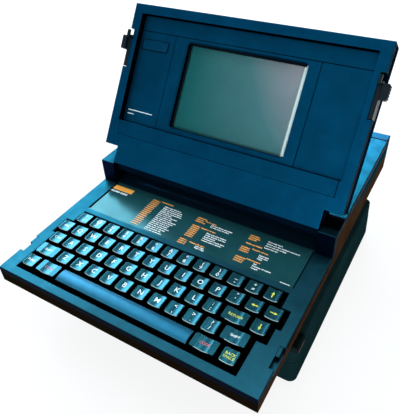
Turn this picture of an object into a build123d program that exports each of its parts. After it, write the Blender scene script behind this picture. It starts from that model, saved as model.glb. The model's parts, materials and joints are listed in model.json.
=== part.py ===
"""A vintage clamshell luggable computer, standing on its battery base unit.

Millimetres. X runs to the user's right, Y to the back and Z up. The origin is on the surface
that the rubber feet stand on, in the middle of the footprint. The lid is open.
"""
from math import cos, radians, sin, tan
import os

from build123d import *

os.makedirs("parts", exist_ok=True)

# ---- driving dimensions --------------------------------------------------------------------
# main case
case_width = 292.0
case_depth = 380.0
case_height = 51.0
wall = 2.5
seam = 0.3  # open line between two neighbouring shells
deck_drop = 28.6  # from the top of the rear cover down to the keyboard deck
deck_skirt = 8.0  # side band of the keyboard deck
cover_skirt = 9.0  # side band of the rear cover
pan_chamfer = 3.0
edge_round = 0.8
lid_edge_round = 0.7
panel_bevel = 0.3
rim_bevel = 0.4  # edge of the keyboard well
cap_bevel = 0.4  # edge of a key's dished top
bay_depth = 170.8  # from the front edge back to the hinge posts
post_width = 17.8
post_length = 12.0  # length of the post that stands in front of the pan's high wall
rear_panel_depth = 14.0

# base unit under the case
dock_side_lip = 4.5  # how far its top stands out past each side of the case
dock_top_depth = 241.0
dock_height = 48.0
dock_draft = 3.0  # degrees
dock_corner = 8.0
dock_setback = 70.0  # its front face lies this far behind the front edge of the case
dock_split = 27.0  # height of the seam between its two shells
dock_foot_height = 3.0
dock_foot_radius = 9.0
dock_foot_inset = 22.0  # centre of a foot from the sides of the base unit
case_foot_height = 1.5
case_foot_radius = 7.0
case_foot_inset = 26.0  # centre of a foot from the sides of the case and of the base unit
dock_screw_inset = 16.5  # from the sides of the base unit
dock_screw_setback = 40.5  # from its front and back

# lid and hinge
hinge_setback = 187.4  # from the front edge of the case
barrel_radius = 9.1
tongue_length = 20.2  # from the wide part of the lid to the hinge axis
lid_front_setback = 1.2
lid_gap = 0.6  # closed lid to deck
side_gap = 0.6  # tongue to post
open_angle = 123.65  # degrees from closed to the angle at which it stands
open_extra = 5.0  # degrees that it still tips back from there
bezel_depth = 9.5
pin_radius = 3.0
pin_play = 0.05
bush_wall = 1.5
bush_length = 9.0

# recessed face of the lid
recess_side = 11.4  # from the side of the lid
recess_low = 31.1
recess_top = 10.4  # from the top of the lid
recess_depth = 8.0
panel_thickness = 2.0
panel_gap = 0.4
ledge_width = 3.0
top_panel_height = 17.3
groove_left = -87.0
groove_right = 83.5
window_left = -70.2
window_right = 69.3
window_low = 37.4
window_high = 133.8
window_corner = 3.0
window_bevel = 1.6
window_depth = 6.0
glass_thickness = 1.5
strip_low = 14.4
strip_side = 13.0  # from the side of the lid
strip_thickness = 2.3

# latches
latch_low = 93.0  # lower end of the slot in the lid's side, measured up the lid
latch_slot_depth = 5.0
latch_slot_height = 18.0
latch_length = 35.9
latch_travel = 6.5
latch_end_gap = 0.8
latch_play = 0.4
knob_start = 19.5  # from the lower end of the slot
knob_length = 15.3
knob_reach = 7.8
knob_depth = 6.0  # down from the lid's inner face
knob_rise = 3.0  # and out of it
knob_gap = 0.5  # to the side of the closed case
knob_bevel = 1.8
hook_start = 32.9  # from the lower end of the slot to the lower face of the hook
hook_reach = 6.5  # how far the hook stands out of the lid's inner face
hook_shank = 3.4
hook_length = 8.4  # from the lower face of the shank to the tip of the tooth
hook_tooth = 2.6  # thickness of the tooth
hook_end_gap = 1.4
keeper_gap = 0.7  # from the closed lid's hook to the keeper behind it
keeper_length = 10.5
notch_clearance = 1.2
notch_floor_depth = 6.6
lip_thickness = 2.8

# keyboard
key_pitch = 19.05
key_rise = 4.0  # key tops above the deck
key_height = 8.0
key_gap = 1.6  # between two caps at their feet
key_taper = 1.75
key_travel = 3.5
key_wall = 1.3
key_roof = 2.2
dish_radius = 26.0
dish_depth = 0.7
keyboard_front = 11.75  # from the front edge of the case to the front row
well_margin = 2.2
well_lining = 1.2
switch_size = 13.6
switch_flange = 15.4
flange_thickness = 0.8
switch_top = 4.0  # cap foot down to the switch housing
plate_drop = 3.5  # switch top down to the plate that holds it
well_depth = 3.0  # cap foot down to the lower edge of the well's lining
stem_radius = 2.0
stem_play = 0.3
plate_thickness = 1.5
board_thickness = 1.6
card_thickness = 0.8
card_half_width = 127.0
card_front = 9.0  # behind the keyboard
card_back = 66.0

# boards and what stands on them
post_radius = 3.0
board_clearance = 1.2  # keyboard board above the floor
main_board_rise = 5.0
chip_height = 4.0
chip_sink = 0.6  # legs of a component, let into its board

# fasteners
screw_radius = 1.5
screw_head_radius = 2.8
screw_head_height = 1.8
screw_slot_width = 0.8
screw_slot_depth = 1.0
screw_play = 0.15
boss_radius = 4.0
boss_height = 4.0
lid_boss_radius = 2.6
head_play = 0.3
head_sink = 0.3  # screw head below the outer face
thread_length = 8.0
deck_screw_inset = 7.4  # from the sides and the front of the case
deck_screw_back = 132.0
cover_screw_inset = 10.0
cover_screw_front = 40.0  # behind the hinge axis
cover_screw_back = 12.0  # in front of the rear panel

# ---- derived positions ---------------------------------------------------------------------
cut = Mode.SUBTRACT
half_width = case_width / 2
dock_top_width = case_width + 2 * dock_side_lip
front = -case_depth / 2
back = case_depth / 2
dock_low = dock_foot_height
dock_high = dock_low + dock_height
dock_spread = dock_height * tan(radians(dock_draft))
dock_base_width = dock_top_width + 2 * dock_spread
dock_base_depth = dock_top_depth + 2 * dock_spread
dock_front = front + dock_setback
dock_y = dock_front + dock_top_depth / 2
case_low = dock_high + case_foot_height
case_high = case_low + case_height
floor_top = case_low + wall
deck_z = case_high - deck_drop
deck_seam_z = deck_z - deck_skirt
cover_seam_z = case_high - cover_skirt
post_y = front + bay_depth
step_y = post_y + post_length
rear_seam_y = back - rear_panel_depth
hinge_y = front + hinge_setback
hinge_z = case_high - barrel_radius
inner_offset = hinge_z - deck_z - lid_gap  # hinge axis to the lid's inner face
lid_thickness = inner_offset + barrel_radius
lid_length = hinge_y - tongue_length - front - lid_front_setback
tongue_half_width = half_width - post_width - side_gap
post_inner = half_width - post_width
recess_half_width = half_width - recess_side
recess_high = lid_length - recess_top
groove_height = recess_high - top_panel_height  # line between the top panel and those under it
strip_half_width = half_width - strip_side
latch_high = latch_low + latch_length + latch_travel + 2 * latch_end_gap
knob_low = latch_low + knob_start
knob_high = knob_low + knob_length
hook_low = latch_low + hook_start
keeper_front = hook_low - keeper_gap
notch_end = keeper_front - keeper_length
undercut = hook_low + hook_length + latch_travel + hook_end_gap - latch_high - notch_clearance
trough_back = hinge_y + barrel_radius + side_gap

lean = radians(open_angle - 90)
# the tongue's back face at the widest opening, which the rear cover's slanted front edge clears
widest = radians(open_angle + open_extra - 90)
relief_back = hinge_y + (barrel_radius + side_gap) / cos(widest) + (case_high - hinge_z) * tan(widest)
relief_low = case_high - (relief_back - trough_back) / tan(widest)

up_lid = Vector(0, sin(lean), cos(lean))
off_lid = Vector(0, -cos(lean), sin(lean))
lid_origin = Vector(0, hinge_y, hinge_z) + up_lid * tongue_length + off_lid * inner_offset
# local X is along the hinge, local Y up the lid and local Z out of its inner face
lid_plane = Plane(origin=lid_origin, x_dir=(1, 0, 0), z_dir=off_lid)

keyboard_back = front + keyboard_front + 5 * key_pitch
key_top_z = deck_z + key_rise
key_foot_z = key_top_z - key_height
switch_top_z = key_foot_z - switch_top
board_z = floor_top + board_clearance
switch_low_z = board_z + board_thickness
key_plate_z = switch_top_z - plate_drop
well_floor_z = key_foot_z - well_depth


def block(x, y, z, mode=Mode.ADD):
    """A box between low and high values along X, Y and Z."""
    centre = ((x[0] + x[1]) / 2, (y[0] + y[1]) / 2, (z[0] + z[1]) / 2)
    with Locations(centre):
        Box(x[1] - x[0], y[1] - y[0], z[1] - z[0], mode=mode)


def rod(x, y, z, radius, mode=Mode.ADD):
    """An upright cylinder at x, y between a low and a high z."""
    with Locations((x, y, (z[0] + z[1]) / 2)):
        Cylinder(radius, z[1] - z[0], mode=mode)


def pin(x, y, z, radius, mode=Mode.ADD):
    """A cylinder along X between a low and a high x, with its axis at y, z."""
    with Locations(Location(((x[0] + x[1]) / 2, y, z), (0, 90, 0))):
        Cylinder(radius, x[1] - x[0], mode=mode)


def sided(side, inner, outer):
    """Low and high X of what lies between two distances from the middle, on one side."""
    return tuple(sorted((side * inner, side * outer)))


def both(half):
    """Low and high value of what is centred on zero."""
    return (-half, half)


def corners(x, y, middle_y=0.0):
    """The four places at a distance x and y to both sides of the middle."""
    return [(sx * x, middle_y + sy * y) for sx in (-1, 1) for sy in (-1, 1)]


def screw(x, y, low, high):
    """A screw with its head at the low end, sunk into a face at height low."""
    head_low = low + head_sink
    rod(x, y, (head_low, head_low + screw_head_height), screw_head_radius)
    rod(x, y, (head_low + 0.5, high), screw_radius)
    half_slot = screw_slot_width / 2
    arm = screw_head_radius - 0.7
    slot_z = (head_low - 1, head_low + screw_slot_depth)
    block((x - arm, x + arm), (y - half_slot, y + half_slot), slot_z, cut)
    block((x - half_slot, x + half_slot), (y - arm, y + arm), slot_z, cut)


def screw_hole(x, y, low, high):
    """The hole for a screw whose head lies in a face at height low."""
    rod(x, y, (low - 1, high), screw_radius + screw_play, cut)
    rod(x, y, (low - 1, low + head_sink + screw_head_height), screw_head_radius + head_play, cut)


def at_height(height):
    """A test for edges that lie at one local height of the lid."""
    def lies(edge):
        return all(abs((edge @ share - lid_origin).dot(off_lid) - height) < 0.01 for share in (0, 0.5, 1))
    return lies


def at_level(z, half, y):
    """A test for edges that lie at a height z, within a distance from the middle and a range of y."""
    def lies(edge):
        centre = edge.center()
        level = abs(centre.Z - z) < 0.01
        return level and abs(centre.X) < half and y[0] < centre.Y < y[1]
    return lies


def save(piece, name):
    """Label a finished piece and write its file."""
    piece.label = name
    export_step(piece, f"parts/{name}.step")


# ---- base unit -----------------------------------------------------------------------------
def dock_body(inset, low, high, mode=Mode.ADD):
    """The drafted outline of the base unit between two heights, moved inwards by inset."""
    run = (low - dock_low) * tan(radians(dock_draft)) + inset
    with BuildSketch(Plane.XY.offset(low)) as outline:
        with Locations((0, dock_y)):
            RectangleRounded(dock_base_width - 2 * run, dock_base_depth - 2 * run,
                             dock_corner - inset)
    extrude(outline.sketch, amount=high - low, taper=dock_draft, mode=mode)


dock_seam_z = dock_low + dock_split
catch_width = 6.0
catch_length = 15.0
catch_travel = 5.0
catch_rise = 2.2  # ribbed top above the base unit
catch_inner = half_width + 0.5
catch_plate = 2.0
catch_plate_z = dock_high - 4.0
catch_setback = 0.8
catch_front = dock_front + catch_setback
catch_hook_outer = half_width - 10.0
catch_hook_inner = catch_hook_outer - 4.0
catch_play = 0.35
catch_bevel = 2.4
catch_ribs = 5
catch_rib_pitch = 2.6
catch_arm = 8.0
catch_tooth = 3.0
catch_arm_y = (catch_front + catch_tooth, catch_front + catch_tooth + catch_arm)
hook_slot_y = (catch_arm_y[0], catch_arm_y[1] + catch_travel + catch_tooth)
guide_wall = 4.0
pocket_y = (catch_front - catch_play, catch_front + catch_length + catch_travel + catch_play)
pocket_floor_z = catch_plate_z - catch_play
catch_hook_z = floor_top + 2.4
dock_feet_places = corners(dock_base_width / 2 - dock_foot_inset,
                           dock_base_depth / 2 - dock_foot_inset, dock_y)
case_feet_places = corners(half_width - case_foot_inset, dock_top_depth / 2 - case_foot_inset, dock_y)
dock_screw_places = corners(dock_top_width / 2 - dock_screw_inset,
                            dock_top_depth / 2 - dock_screw_setback, dock_y)

with BuildPart() as dock_bottom:
    dock_body(0, dock_low, dock_seam_z)
    dock_body(wall, dock_low + wall, dock_seam_z + 1, cut)
    for x, y in dock_screw_places:
        rod(x, y, (dock_low + 1, dock_seam_z - 1), boss_radius)
        screw_hole(x, y, dock_low, dock_seam_z)
save(dock_bottom.part, "dock_bottom")

with BuildPart() as dock_top:
    dock_body(0, dock_seam_z + seam, dock_high)
    fillet(dock_top.edges().group_by(Axis.Z)[-1], edge_round)
    dock_body(wall, dock_seam_z + seam - 1, dock_high - wall, cut)
    for x, y in dock_screw_places:
        rod(x, y, (dock_seam_z - 0.5, dock_high - wall + 0.5), boss_radius)
        rod(x, y, (dock_seam_z - 1, dock_seam_z + thread_length), screw_radius + screw_play, cut)
    for side in (-1, 1):
        # block that guides the catch, its pocket and the channel of its hook
        block(sided(side, catch_hook_inner - guide_wall, half_width), (dock_front + 0.4, pocket_y[1] + wall),
              (pocket_floor_z - wall, dock_high - 0.5))
        block(sided(side, catch_inner - catch_play, dock_top_width), pocket_y,
              (pocket_floor_z, dock_high + 1), cut)
        block(sided(side, catch_hook_inner - catch_play, dock_top_width),
              (hook_slot_y[0] - catch_play, hook_slot_y[1]), (pocket_floor_z, dock_high + 1), cut)
save(dock_top.part, "dock_top")

for side, name in ((-1, "dock_catch_left"), (1, "dock_catch_right")):
    with BuildPart() as dock_catch:
        body_y = (catch_front, catch_front + catch_length)
        block(sided(side, catch_inner, catch_inner + catch_width), body_y,
              (catch_plate_z, dock_high + catch_rise))
        outer_edge = dock_catch.edges().filter_by(Axis.Y).group_by(Axis.Z)[-1]
        chamfer(outer_edge.sort_by(Axis.X)[0 if side < 0 else -1], catch_bevel)
        for rib in range(catch_ribs):
            rib_y = catch_front + catch_length / 2 + (rib - (catch_ribs - 1) / 2) * catch_rib_pitch
            block(sided(side, catch_inner - 1, catch_inner + catch_width + 1), (rib_y - 0.6, rib_y + 0.6),
                  (dock_high + catch_rise - 0.8, dock_high + catch_rise + 1), cut)
        # a flat arm under the case and a hook that reaches through the pan's floor
        block(sided(side, catch_hook_inner, catch_inner + 1), catch_arm_y,
              (catch_plate_z, catch_plate_z + catch_plate))
        block(sided(side, catch_hook_inner, catch_hook_outer),
              (catch_arm_y[0] + catch_tooth, catch_arm_y[0] + 2 * catch_tooth), (catch_plate_z, catch_hook_z))
        block(sided(side, catch_hook_inner, catch_hook_outer),
              (catch_arm_y[0], catch_arm_y[0] + catch_tooth), (floor_top + catch_play, catch_hook_z))
    save(dock_catch.part, name)

with BuildPart() as dock_feet:
    for x, y in dock_feet_places:
        rod(x, y, (0, dock_low), dock_foot_radius)
    chamfer(dock_feet.edges().group_by(Axis.Z)[0], 0.8)
save(dock_feet.part, "dock_feet")

cell_radius = 16.5
cell_length = 58.0
cell_nub_radius = 4.5
cell_nub = 1.5
cell_z = dock_low + wall + 0.3 + cell_radius
cell_gap = 0.8
cell_pitch = (cell_length + cell_nub + cell_gap, 2 * cell_radius + cell_gap)
cell_first = (-dock_top_width / 2 + 26.5, dock_front + 14.0)  # left end and front of the first cell
cell_places = [(cell_first[0] + cell_length / 2 + column * cell_pitch[0],
                cell_first[1] + cell_radius + row * cell_pitch[1])
               for row in range(4) for column in range(2)]
with BuildPart() as battery_cells:
    for x, y in cell_places:
        pin((x - cell_length / 2, x + cell_length / 2), y, cell_z, cell_radius)
        pin((x + cell_length / 2 - 1, x + cell_length / 2 + cell_nub), y, cell_z, cell_nub_radius)
save(battery_cells.part, "battery_cells")

charger_x = (10.0, dock_top_width / 2 - 30.5)
charger_y = (dock_front + 50.5, dock_front + dock_top_depth - 60.5)
charger_z = dock_low + wall + 6.0
charger_top = charger_z + board_thickness
transformer_size = (32.0, 30.0, 22.0)
relay_size = (18.0, 25.0, 14.0)
capacitor_radius = 6.0
capacitor_height = 18.0
capacitor_pitch = (charger_x[1] - charger_x[0] - 35) / 3
with BuildPart() as charger_board:
    block(charger_x, charger_y, (charger_z, charger_top))
    parts_x = charger_x[0] + 10
    for size in (transformer_size, relay_size):
        block((parts_x, parts_x + size[0]), (charger_y[0] + 10, charger_y[0] + 10 + size[1]),
              (charger_top - chip_sink, charger_top + size[2]))
        parts_x += size[0] + 10
    for number in range(4):
        rod(charger_x[0] + 20 + capacitor_pitch * number, charger_y[0] + 80,
            (charger_top - chip_sink, charger_top + capacitor_height), capacitor_radius)
    for x in (charger_x[0] + 6, charger_x[1] - 6):
        for y in (charger_y[0] + 6, charger_y[1] - 6):
            rod(x, y, (dock_low + wall, charger_z + 0.5), post_radius)
save(charger_board.part, "charger_board")

with BuildPart() as dock_screws:
    for x, y in dock_screw_places:
        screw(x, y, dock_low, dock_seam_z + thread_length - 1)
save(dock_screws.part, "dock_screws")

# ---- case: pan, deck, rear cover and rear panel ----------------------------------------------
deck_screw_x = half_width - deck_screw_inset
deck_screw_places = [(x, y) for x in (-deck_screw_x, deck_screw_x)
                     for y in (front + deck_screw_inset, front + deck_screw_back)]
cover_screw_x = half_width - cover_screw_inset
cover_screw_places = [(x, y) for x in (-cover_screw_x, cover_screw_x)
                      for y in (hinge_y + cover_screw_front, rear_seam_y - cover_screw_back)]
boss_top = floor_top + boss_height
pan_lip = 9.0  # low rear edge of the pan, under the rear panel
board_post_xs = (-100.0, -35.0, 35.0, 100.0)
board_post_inset = 8.0

with BuildPart() as base_pan:
    block(both(half_width), (front, back), (case_low, deck_seam_z))
    block(both(half_width), (step_y, back), (deck_seam_z - 1, cover_seam_z))
    chamfer(base_pan.edges().group_by(Axis.Z)[0], pan_chamfer)
    block(both(half_width - wall), (front + wall, back - wall), (floor_top, case_high), cut)
    block(both(half_width - wall), (back - wall - 1, back + 1), (case_low + pan_lip, case_high), cut)
    for x, y in deck_screw_places + cover_screw_places:
        rod(x, y, (floor_top - 1, boss_top), boss_radius)
        screw_hole(x, y, case_low, boss_top + 1)
    for side in (-1, 1):
        block(sided(side, catch_hook_inner - 1, catch_hook_outer + 1),
              (hook_slot_y[0] + catch_tooth - 0.6, hook_slot_y[1]), (case_low - 1, floor_top + 1), cut)
    for x in board_post_xs:
        for y in (keyboard_back - board_post_inset, keyboard_back - 5 * key_pitch + board_post_inset):
            rod(x, y, (floor_top - 0.5, board_z), post_radius)
save(base_pan.part, "base_pan")

with BuildPart() as case_feet:
    for x, y in case_feet_places:
        rod(x, y, (dock_high, case_low), case_foot_radius)
save(case_feet.part, "case_feet")

# each keyboard row: left and right end in key pitches from the left edge of the widest row
row_ends = [(0.5, 13.5), (0.0, 14.0), (0.25, 13.75), (0.25, 13.25), (0.25, 13.25)]
keyboard_left = -7 * key_pitch


def key_x(units):
    """X of a place on the keyboard, in key pitches from its left edge."""
    return keyboard_left + units * key_pitch


def row_y(row):
    """Y of the middle of a keyboard row, row 0 at the back."""
    return keyboard_back - (row + 0.5) * key_pitch


def well_outline(margin):
    """The stepped outline around the keys, one rectangle to a row."""
    for row, (start, end) in enumerate(row_ends):
        with Locations(((key_x(start) + key_x(end)) / 2, row_y(row))):
            Rectangle((end - start) * key_pitch + 2 * margin, key_pitch + 2 * margin)


lid_foot_y = hinge_y - tongue_length  # lower edge of the closed lid's wide part
notch_y = (lid_foot_y - latch_high - notch_clearance, lid_foot_y - notch_end)
hole_end_y = lid_foot_y - keeper_front
notch_inner = half_width - latch_slot_depth
notch_floor_z = deck_z - notch_floor_depth
card_play = 0.4  # below the deck's top
card_y = (keyboard_back + card_front, keyboard_back + card_back)

with BuildPart() as keyboard_deck:
    block(both(half_width), (front, post_y - seam), (deck_seam_z + seam, deck_z))
    fillet(keyboard_deck.edges().group_by(Axis.Z)[-1], edge_round)
    block(both(half_width - wall), (front + wall, post_y + 1), (deck_seam_z, deck_z - wall), cut)
    block(both(post_inner - seam), (post_y - seam - 2, trough_back), (deck_z - wall, deck_z - 0.2))
    for x, y in deck_screw_places:
        rod(x, y, (boss_top + seam, deck_z - 1), boss_radius)
        rod(x, y, (boss_top, deck_z - wall), screw_radius + screw_play, cut)
    with BuildSketch(Plane.XY.offset(well_floor_z)):
        well_outline(well_margin + well_lining)
    extrude(amount=deck_z - 1 - well_floor_z)
    with BuildSketch(Plane.XY.offset(well_floor_z)):
        well_outline(well_margin)
    extrude(amount=deck_z + 1 - well_floor_z, mode=cut)
    rim = keyboard_deck.edges().filter_by(
        at_level(deck_z, 7.2 * key_pitch, (front + 4, keyboard_back + well_margin + 1)))
    chamfer(rim, rim_bevel)
    block(both(card_half_width + seam), (card_y[0] - seam, card_y[1] + seam),
          (deck_z - card_thickness - card_play, deck_z + 1), cut)
    for side in (-1, 1):
        block(sided(side, notch_inner - wall, half_width - 0.5),
              (notch_y[0] - undercut - wall, notch_y[1] + wall), (deck_seam_z + seam, deck_z - 1))
        block(sided(side, notch_inner, half_width + 1), notch_y, (notch_floor_z, deck_z + 1), cut)
        block(sided(side, notch_inner, half_width + 1), (notch_y[0] - undercut, notch_y[0] + 1),
              (notch_floor_z, deck_z - lip_thickness), cut)
save(keyboard_deck.part, "keyboard_deck")

with BuildPart() as latch_keepers:
    for side in (-1, 1):
        block(sided(side, notch_inner + 0.2, half_width - 1.5), (hole_end_y, notch_y[1] - 0.2),
              (notch_floor_z, deck_z - 0.2))
    fillet(latch_keepers.edges().group_by(Axis.Z)[-1], 0.5)
save(latch_keepers.part, "latch_keepers")

with BuildPart() as rear_cover:
    block(both(half_width), (post_y, rear_seam_y - seam), (cover_seam_z + seam, case_high))
    block(both(half_width), (post_y, step_y - seam), (deck_seam_z + seam, cover_seam_z + 1))
    top_edges = rear_cover.edges().group_by(Axis.Z)[-1]
    fillet(top_edges.sort_by(Axis.Y)[:-1], edge_round)
    # the trough that the lid's tongue turns in, and the hollow under the cover
    block(both(post_inner), (post_y - 1, trough_back), (deck_seam_z, case_high + 1), cut)
    block(both(half_width - wall), (trough_back + wall, rear_seam_y + 1),
          (deck_seam_z, case_high - wall), cut)
    block(both(post_inner), (trough_back, trough_back + wall), (deck_z + 0.1, case_high - 1))
    block(both(post_inner + wall), (trough_back, relief_back + wall), (relief_low - wall, case_high - 1))
    with BuildSketch(Plane.YZ):
        with BuildLine():
            Polyline((trough_back - 1, relief_low), (trough_back, relief_low), (relief_back, case_high),
                     (relief_back + 1, case_high + 1), (trough_back - 1, case_high + 1), close=True)
        make_face()
    extrude(amount=post_inner, both=True, mode=cut)
    for side in (-1, 1):
        block(sided(side, post_inner + wall, half_width - wall), (post_y + wall, trough_back + wall + 1),
              (deck_seam_z, case_high - wall), cut)
        block(sided(side, post_inner - 0.1, post_inner + wall), (step_y - seam, trough_back + wall),
              (deck_z + 0.1, case_high - 1))
        pin(sided(side, post_inner - 1, post_inner + wall + 1), hinge_y, hinge_z, pin_radius + 0.3, cut)
    for x, y in cover_screw_places:
        rod(x, y, (boss_top + seam, case_high - 1), boss_radius)
        rod(x, y, (boss_top, case_high - wall), screw_radius + screw_play, cut)
save(rear_cover.part, "rear_cover")

port_z = case_low + 20.0
serial_x = (-40.0, 12.0)
bus_x = (22.0, 84.0)
inlet_x = (-118.0, -96.0)
jack_xs = (-82.0, -64.0)
switch_x = (104.0, 124.0)
port_half = 7.0
jack_half = 6.5
jack_top = 5.0
fin_count = 24
fin_pitch = 10.0
fin_groove = (4.0, 1.0)  # width and depth of a groove between two fins
fin_low_z = port_z + 12.0

with BuildPart() as rear_panel:
    block(both(half_width), (rear_seam_y, back), (cover_seam_z + seam, case_high))
    back_top = rear_panel.edges().group_by(Axis.Z)[-1]
    fillet(back_top.sort_by(Axis.Y)[1:], edge_round)
    block(both(half_width - wall), (rear_seam_y - 1, back - wall), (cover_seam_z, case_high - wall), cut)
    block(both(half_width - wall - seam), (back - wall, back), (case_low + pan_lip + seam, cover_seam_z + 1))
    through = (back - wall - 1, back + 1)
    for x in (serial_x, bus_x, inlet_x, switch_x):
        block(x, through, (port_z - port_half, port_z + port_half), cut)
    for x in jack_xs:
        block((x - jack_half, x + jack_half), through, (port_z - port_half, port_z + jack_top), cut)
    for number in range(fin_count):
        x = (number - (fin_count - 1) / 2) * fin_pitch
        block((x - fin_groove[0] / 2, x + fin_groove[0] / 2), (back - fin_groove[1], back + 1),
              (fin_low_z, cover_seam_z - 1), cut)
save(rear_panel.part, "rear_panel")

# ---- hinge hardware --------------------------------------------------------------------------
hardware_gap = 0.4
bracket_inner = post_inner + wall + hardware_gap
bracket_outer = half_width - wall - hardware_gap
bracket_top = case_high - wall - hardware_gap
bracket_half = 7.0
bracket_leg = 4.0
bracket_foot = 3.0
bracket_y = (hinge_y - bracket_half, hinge_y + bracket_half)
pin_start = tongue_half_width - bush_length + hardware_gap

with BuildPart() as hinge_brackets:
    for side in (-1, 1):
        block(sided(side, bracket_inner, bracket_outer), bracket_y, (deck_seam_z, bracket_top))
        block(sided(side, bracket_inner, bracket_inner + bracket_leg), bracket_y,
              (floor_top, deck_seam_z + 1))
        block(sided(side, bracket_inner, bracket_outer), bracket_y, (floor_top, floor_top + bracket_foot))
        pin(sided(side, bracket_inner - 1, bracket_outer + 1), hinge_y, hinge_z, pin_radius + 0.01, cut)
save(hinge_brackets.part, "hinge_brackets")

with BuildPart() as hinge_pins:
    for side in (-1, 1):
        pin(sided(side, pin_start, bracket_outer), hinge_y, hinge_z, pin_radius)
save(hinge_pins.part, "hinge_pins")

# ---- keyboard ----------------------------------------------------------------------------------
stem_low_z = switch_top_z - 2.0
space_units = 8
space_slope = 1.4  # the bar's long sides lean in by this much
space_crown = 1.6  # rise of its rounded top
space_stems = (-3 * key_pitch, 0, 3 * key_pitch)


def cap_body(width, inset, low, high, mode=Mode.ADD):
    """A tapered key cap, width by one row, shrunk by inset and cut off between two heights."""
    rise = (high - key_foot_z) / key_height
    start = (low - key_foot_z) / key_height
    sections = []
    for height, share in ((low, start), (high, rise)):
        shrink = key_gap / 2 + inset + key_taper * share
        with BuildSketch(Plane.XY.offset(height)) as section:
            RectangleRounded(width - 2 * shrink, key_pitch - 2 * shrink, max(1.6 - inset, 0.4))
        sections.append(section.sketch.face())
    loft(sections, mode=mode)


def make_cap(units):
    """One hollow key cap over the origin, with its dished top and its stem."""
    width = units * key_pitch
    with BuildPart(mode=Mode.PRIVATE) as cap:
        cap_body(width, 0, key_foot_z, key_top_z)
        dish_z = key_top_z - dish_depth + dish_radius
        with Locations(Location((0, 0, dish_z), (90, 0, 0))):
            Cylinder(dish_radius, key_pitch, mode=cut)
        dish = cap.faces().filter_by(GeomType.CYLINDER).sort_by(SortBy.AREA)[-1]
        chamfer(dish.edges(), cap_bevel)
        cap_body(width, key_wall, key_foot_z, key_top_z - key_roof, cut)
        rod(0, 0, (stem_low_z, key_top_z - key_roof + 0.2), stem_radius)
    return cap.part


def space_bar():
    """The long bar over the origin, with a rounded top and three stems."""
    length = space_units * key_pitch - key_gap
    half = (key_pitch - key_gap) / 2
    with BuildPart(mode=Mode.PRIVATE) as bar:
        with BuildSketch(Plane.YZ):
            with BuildLine():
                foot_line = Polyline((half - space_slope, key_top_z - space_crown), (half, key_foot_z),
                                     (-half, key_foot_z), (-half + space_slope, key_top_z - space_crown))
                ThreePointArc(foot_line @ 1, (0, key_top_z), foot_line @ 0)
            make_face()
        extrude(amount=length / 2, both=True)
        chamfer(bar.faces().filter_by(Axis.X).edges().group_by(Axis.Z)[-1], 0.6)
        block(both(length / 2 - key_wall), both(half - space_slope - 1),
              (key_foot_z - 1, key_top_z - space_crown - key_wall), cut)
        for x in space_stems:
            rod(x, 0, (stem_low_z, key_top_z - key_roof), stem_radius)
    return bar.part


# name, width in pitches and, for each cap, its row and the place of its left edge
key_groups = {
    "keys_number_row": (1.0, [(0, 0.5 + n) for n in range(12)]),
    "keys_upper_letters": (1.0, [(1, 1.0 + n) for n in range(11)]),
    "keys_home_letters": (1.0, [(2, 1.25 + n) for n in range(10)]),
    "keys_lower_letters": (1.0, [(3, 1.75 + n) for n in range(10)]),
    "key_escape": (1.0, [(1, 0.0)]),
    "key_control": (1.0, [(2, 0.25)]),
    "key_return": (1.5, [(2, 11.25)]),
    "key_shift_left": (1.5, [(3, 0.25)]),
    "key_shift_right": (1.5, [(3, 11.75)]),
    "key_function": (1.0, [(4, 0.25)]),
    "key_code_left": (1.5, [(4, 1.25)]),
    "key_code_right": (1.5, [(4, 10.75)]),
    "key_backspace": (1.0, [(4, 12.25)]),
    "key_up": (1.0, [(0, 12.5)]),
    "key_left": (1.0, [(1, 12.0)]),
    "key_right": (1.0, [(1, 13.0)]),
    "key_down": (1.0, [(2, 12.75)]),
}
caps = {1.0: make_cap(1.0), 1.5: make_cap(1.5)}
switch_places = []
for name, (units, places) in key_groups.items():
    centres = [(key_x(left + units / 2), row_y(row)) for row, left in places]
    switch_places += centres
    with BuildPart() as keys:
        with Locations(*centres):
            add(caps[units])
    save(keys.part, name)

space_centre = (key_x(2.75 + space_units / 2), row_y(4))
with BuildPart() as key_space:
    with Locations(space_centre):
        add(space_bar())
save(key_space.part, "key_space")
switch_places += [(space_centre[0] + shift, space_centre[1]) for shift in space_stems]

with BuildPart() as key_switches:
    with Locations(*[(x, y, (switch_low_z + switch_top_z) / 2) for x, y in switch_places]):
        Box(switch_size, switch_size, switch_top_z - switch_low_z)
    with Locations(*[(x, y, key_plate_z + flange_thickness / 2) for x, y in switch_places]):
        Box(switch_flange, switch_flange, flange_thickness)
    hole_depth = key_travel + 3.0
    with Locations(*[(x, y, switch_top_z - hole_depth / 2) for x, y in switch_places]):
        Cylinder(stem_radius + stem_play, hole_depth, mode=cut)
save(key_switches.part, "key_switches")

plate_y = (keyboard_back - 5 * key_pitch - 1.0, keyboard_back + 3.0)
plate_half = 7 * key_pitch + 0.65
plate_hole = switch_size + 0.3
with BuildPart() as key_plate:
    block(both(plate_half), plate_y, (key_plate_z - plate_thickness, key_plate_z))
    with Locations(*[(x, y, key_plate_z - plate_thickness / 2) for x, y in switch_places]):
        Box(plate_hole, plate_hole, 2 * plate_thickness, mode=cut)
save(key_plate.part, "key_plate")

with BuildPart() as keyboard_board:
    block(both(catch_hook_inner - 2), plate_y, (board_z, board_z + board_thickness))
save(keyboard_board.part, "keyboard_board")

with BuildPart() as overlay_card:
    block(both(card_half_width), card_y, (deck_z - card_thickness - card_play, deck_z - card_play))
save(overlay_card.part, "overlay_card")

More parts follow.
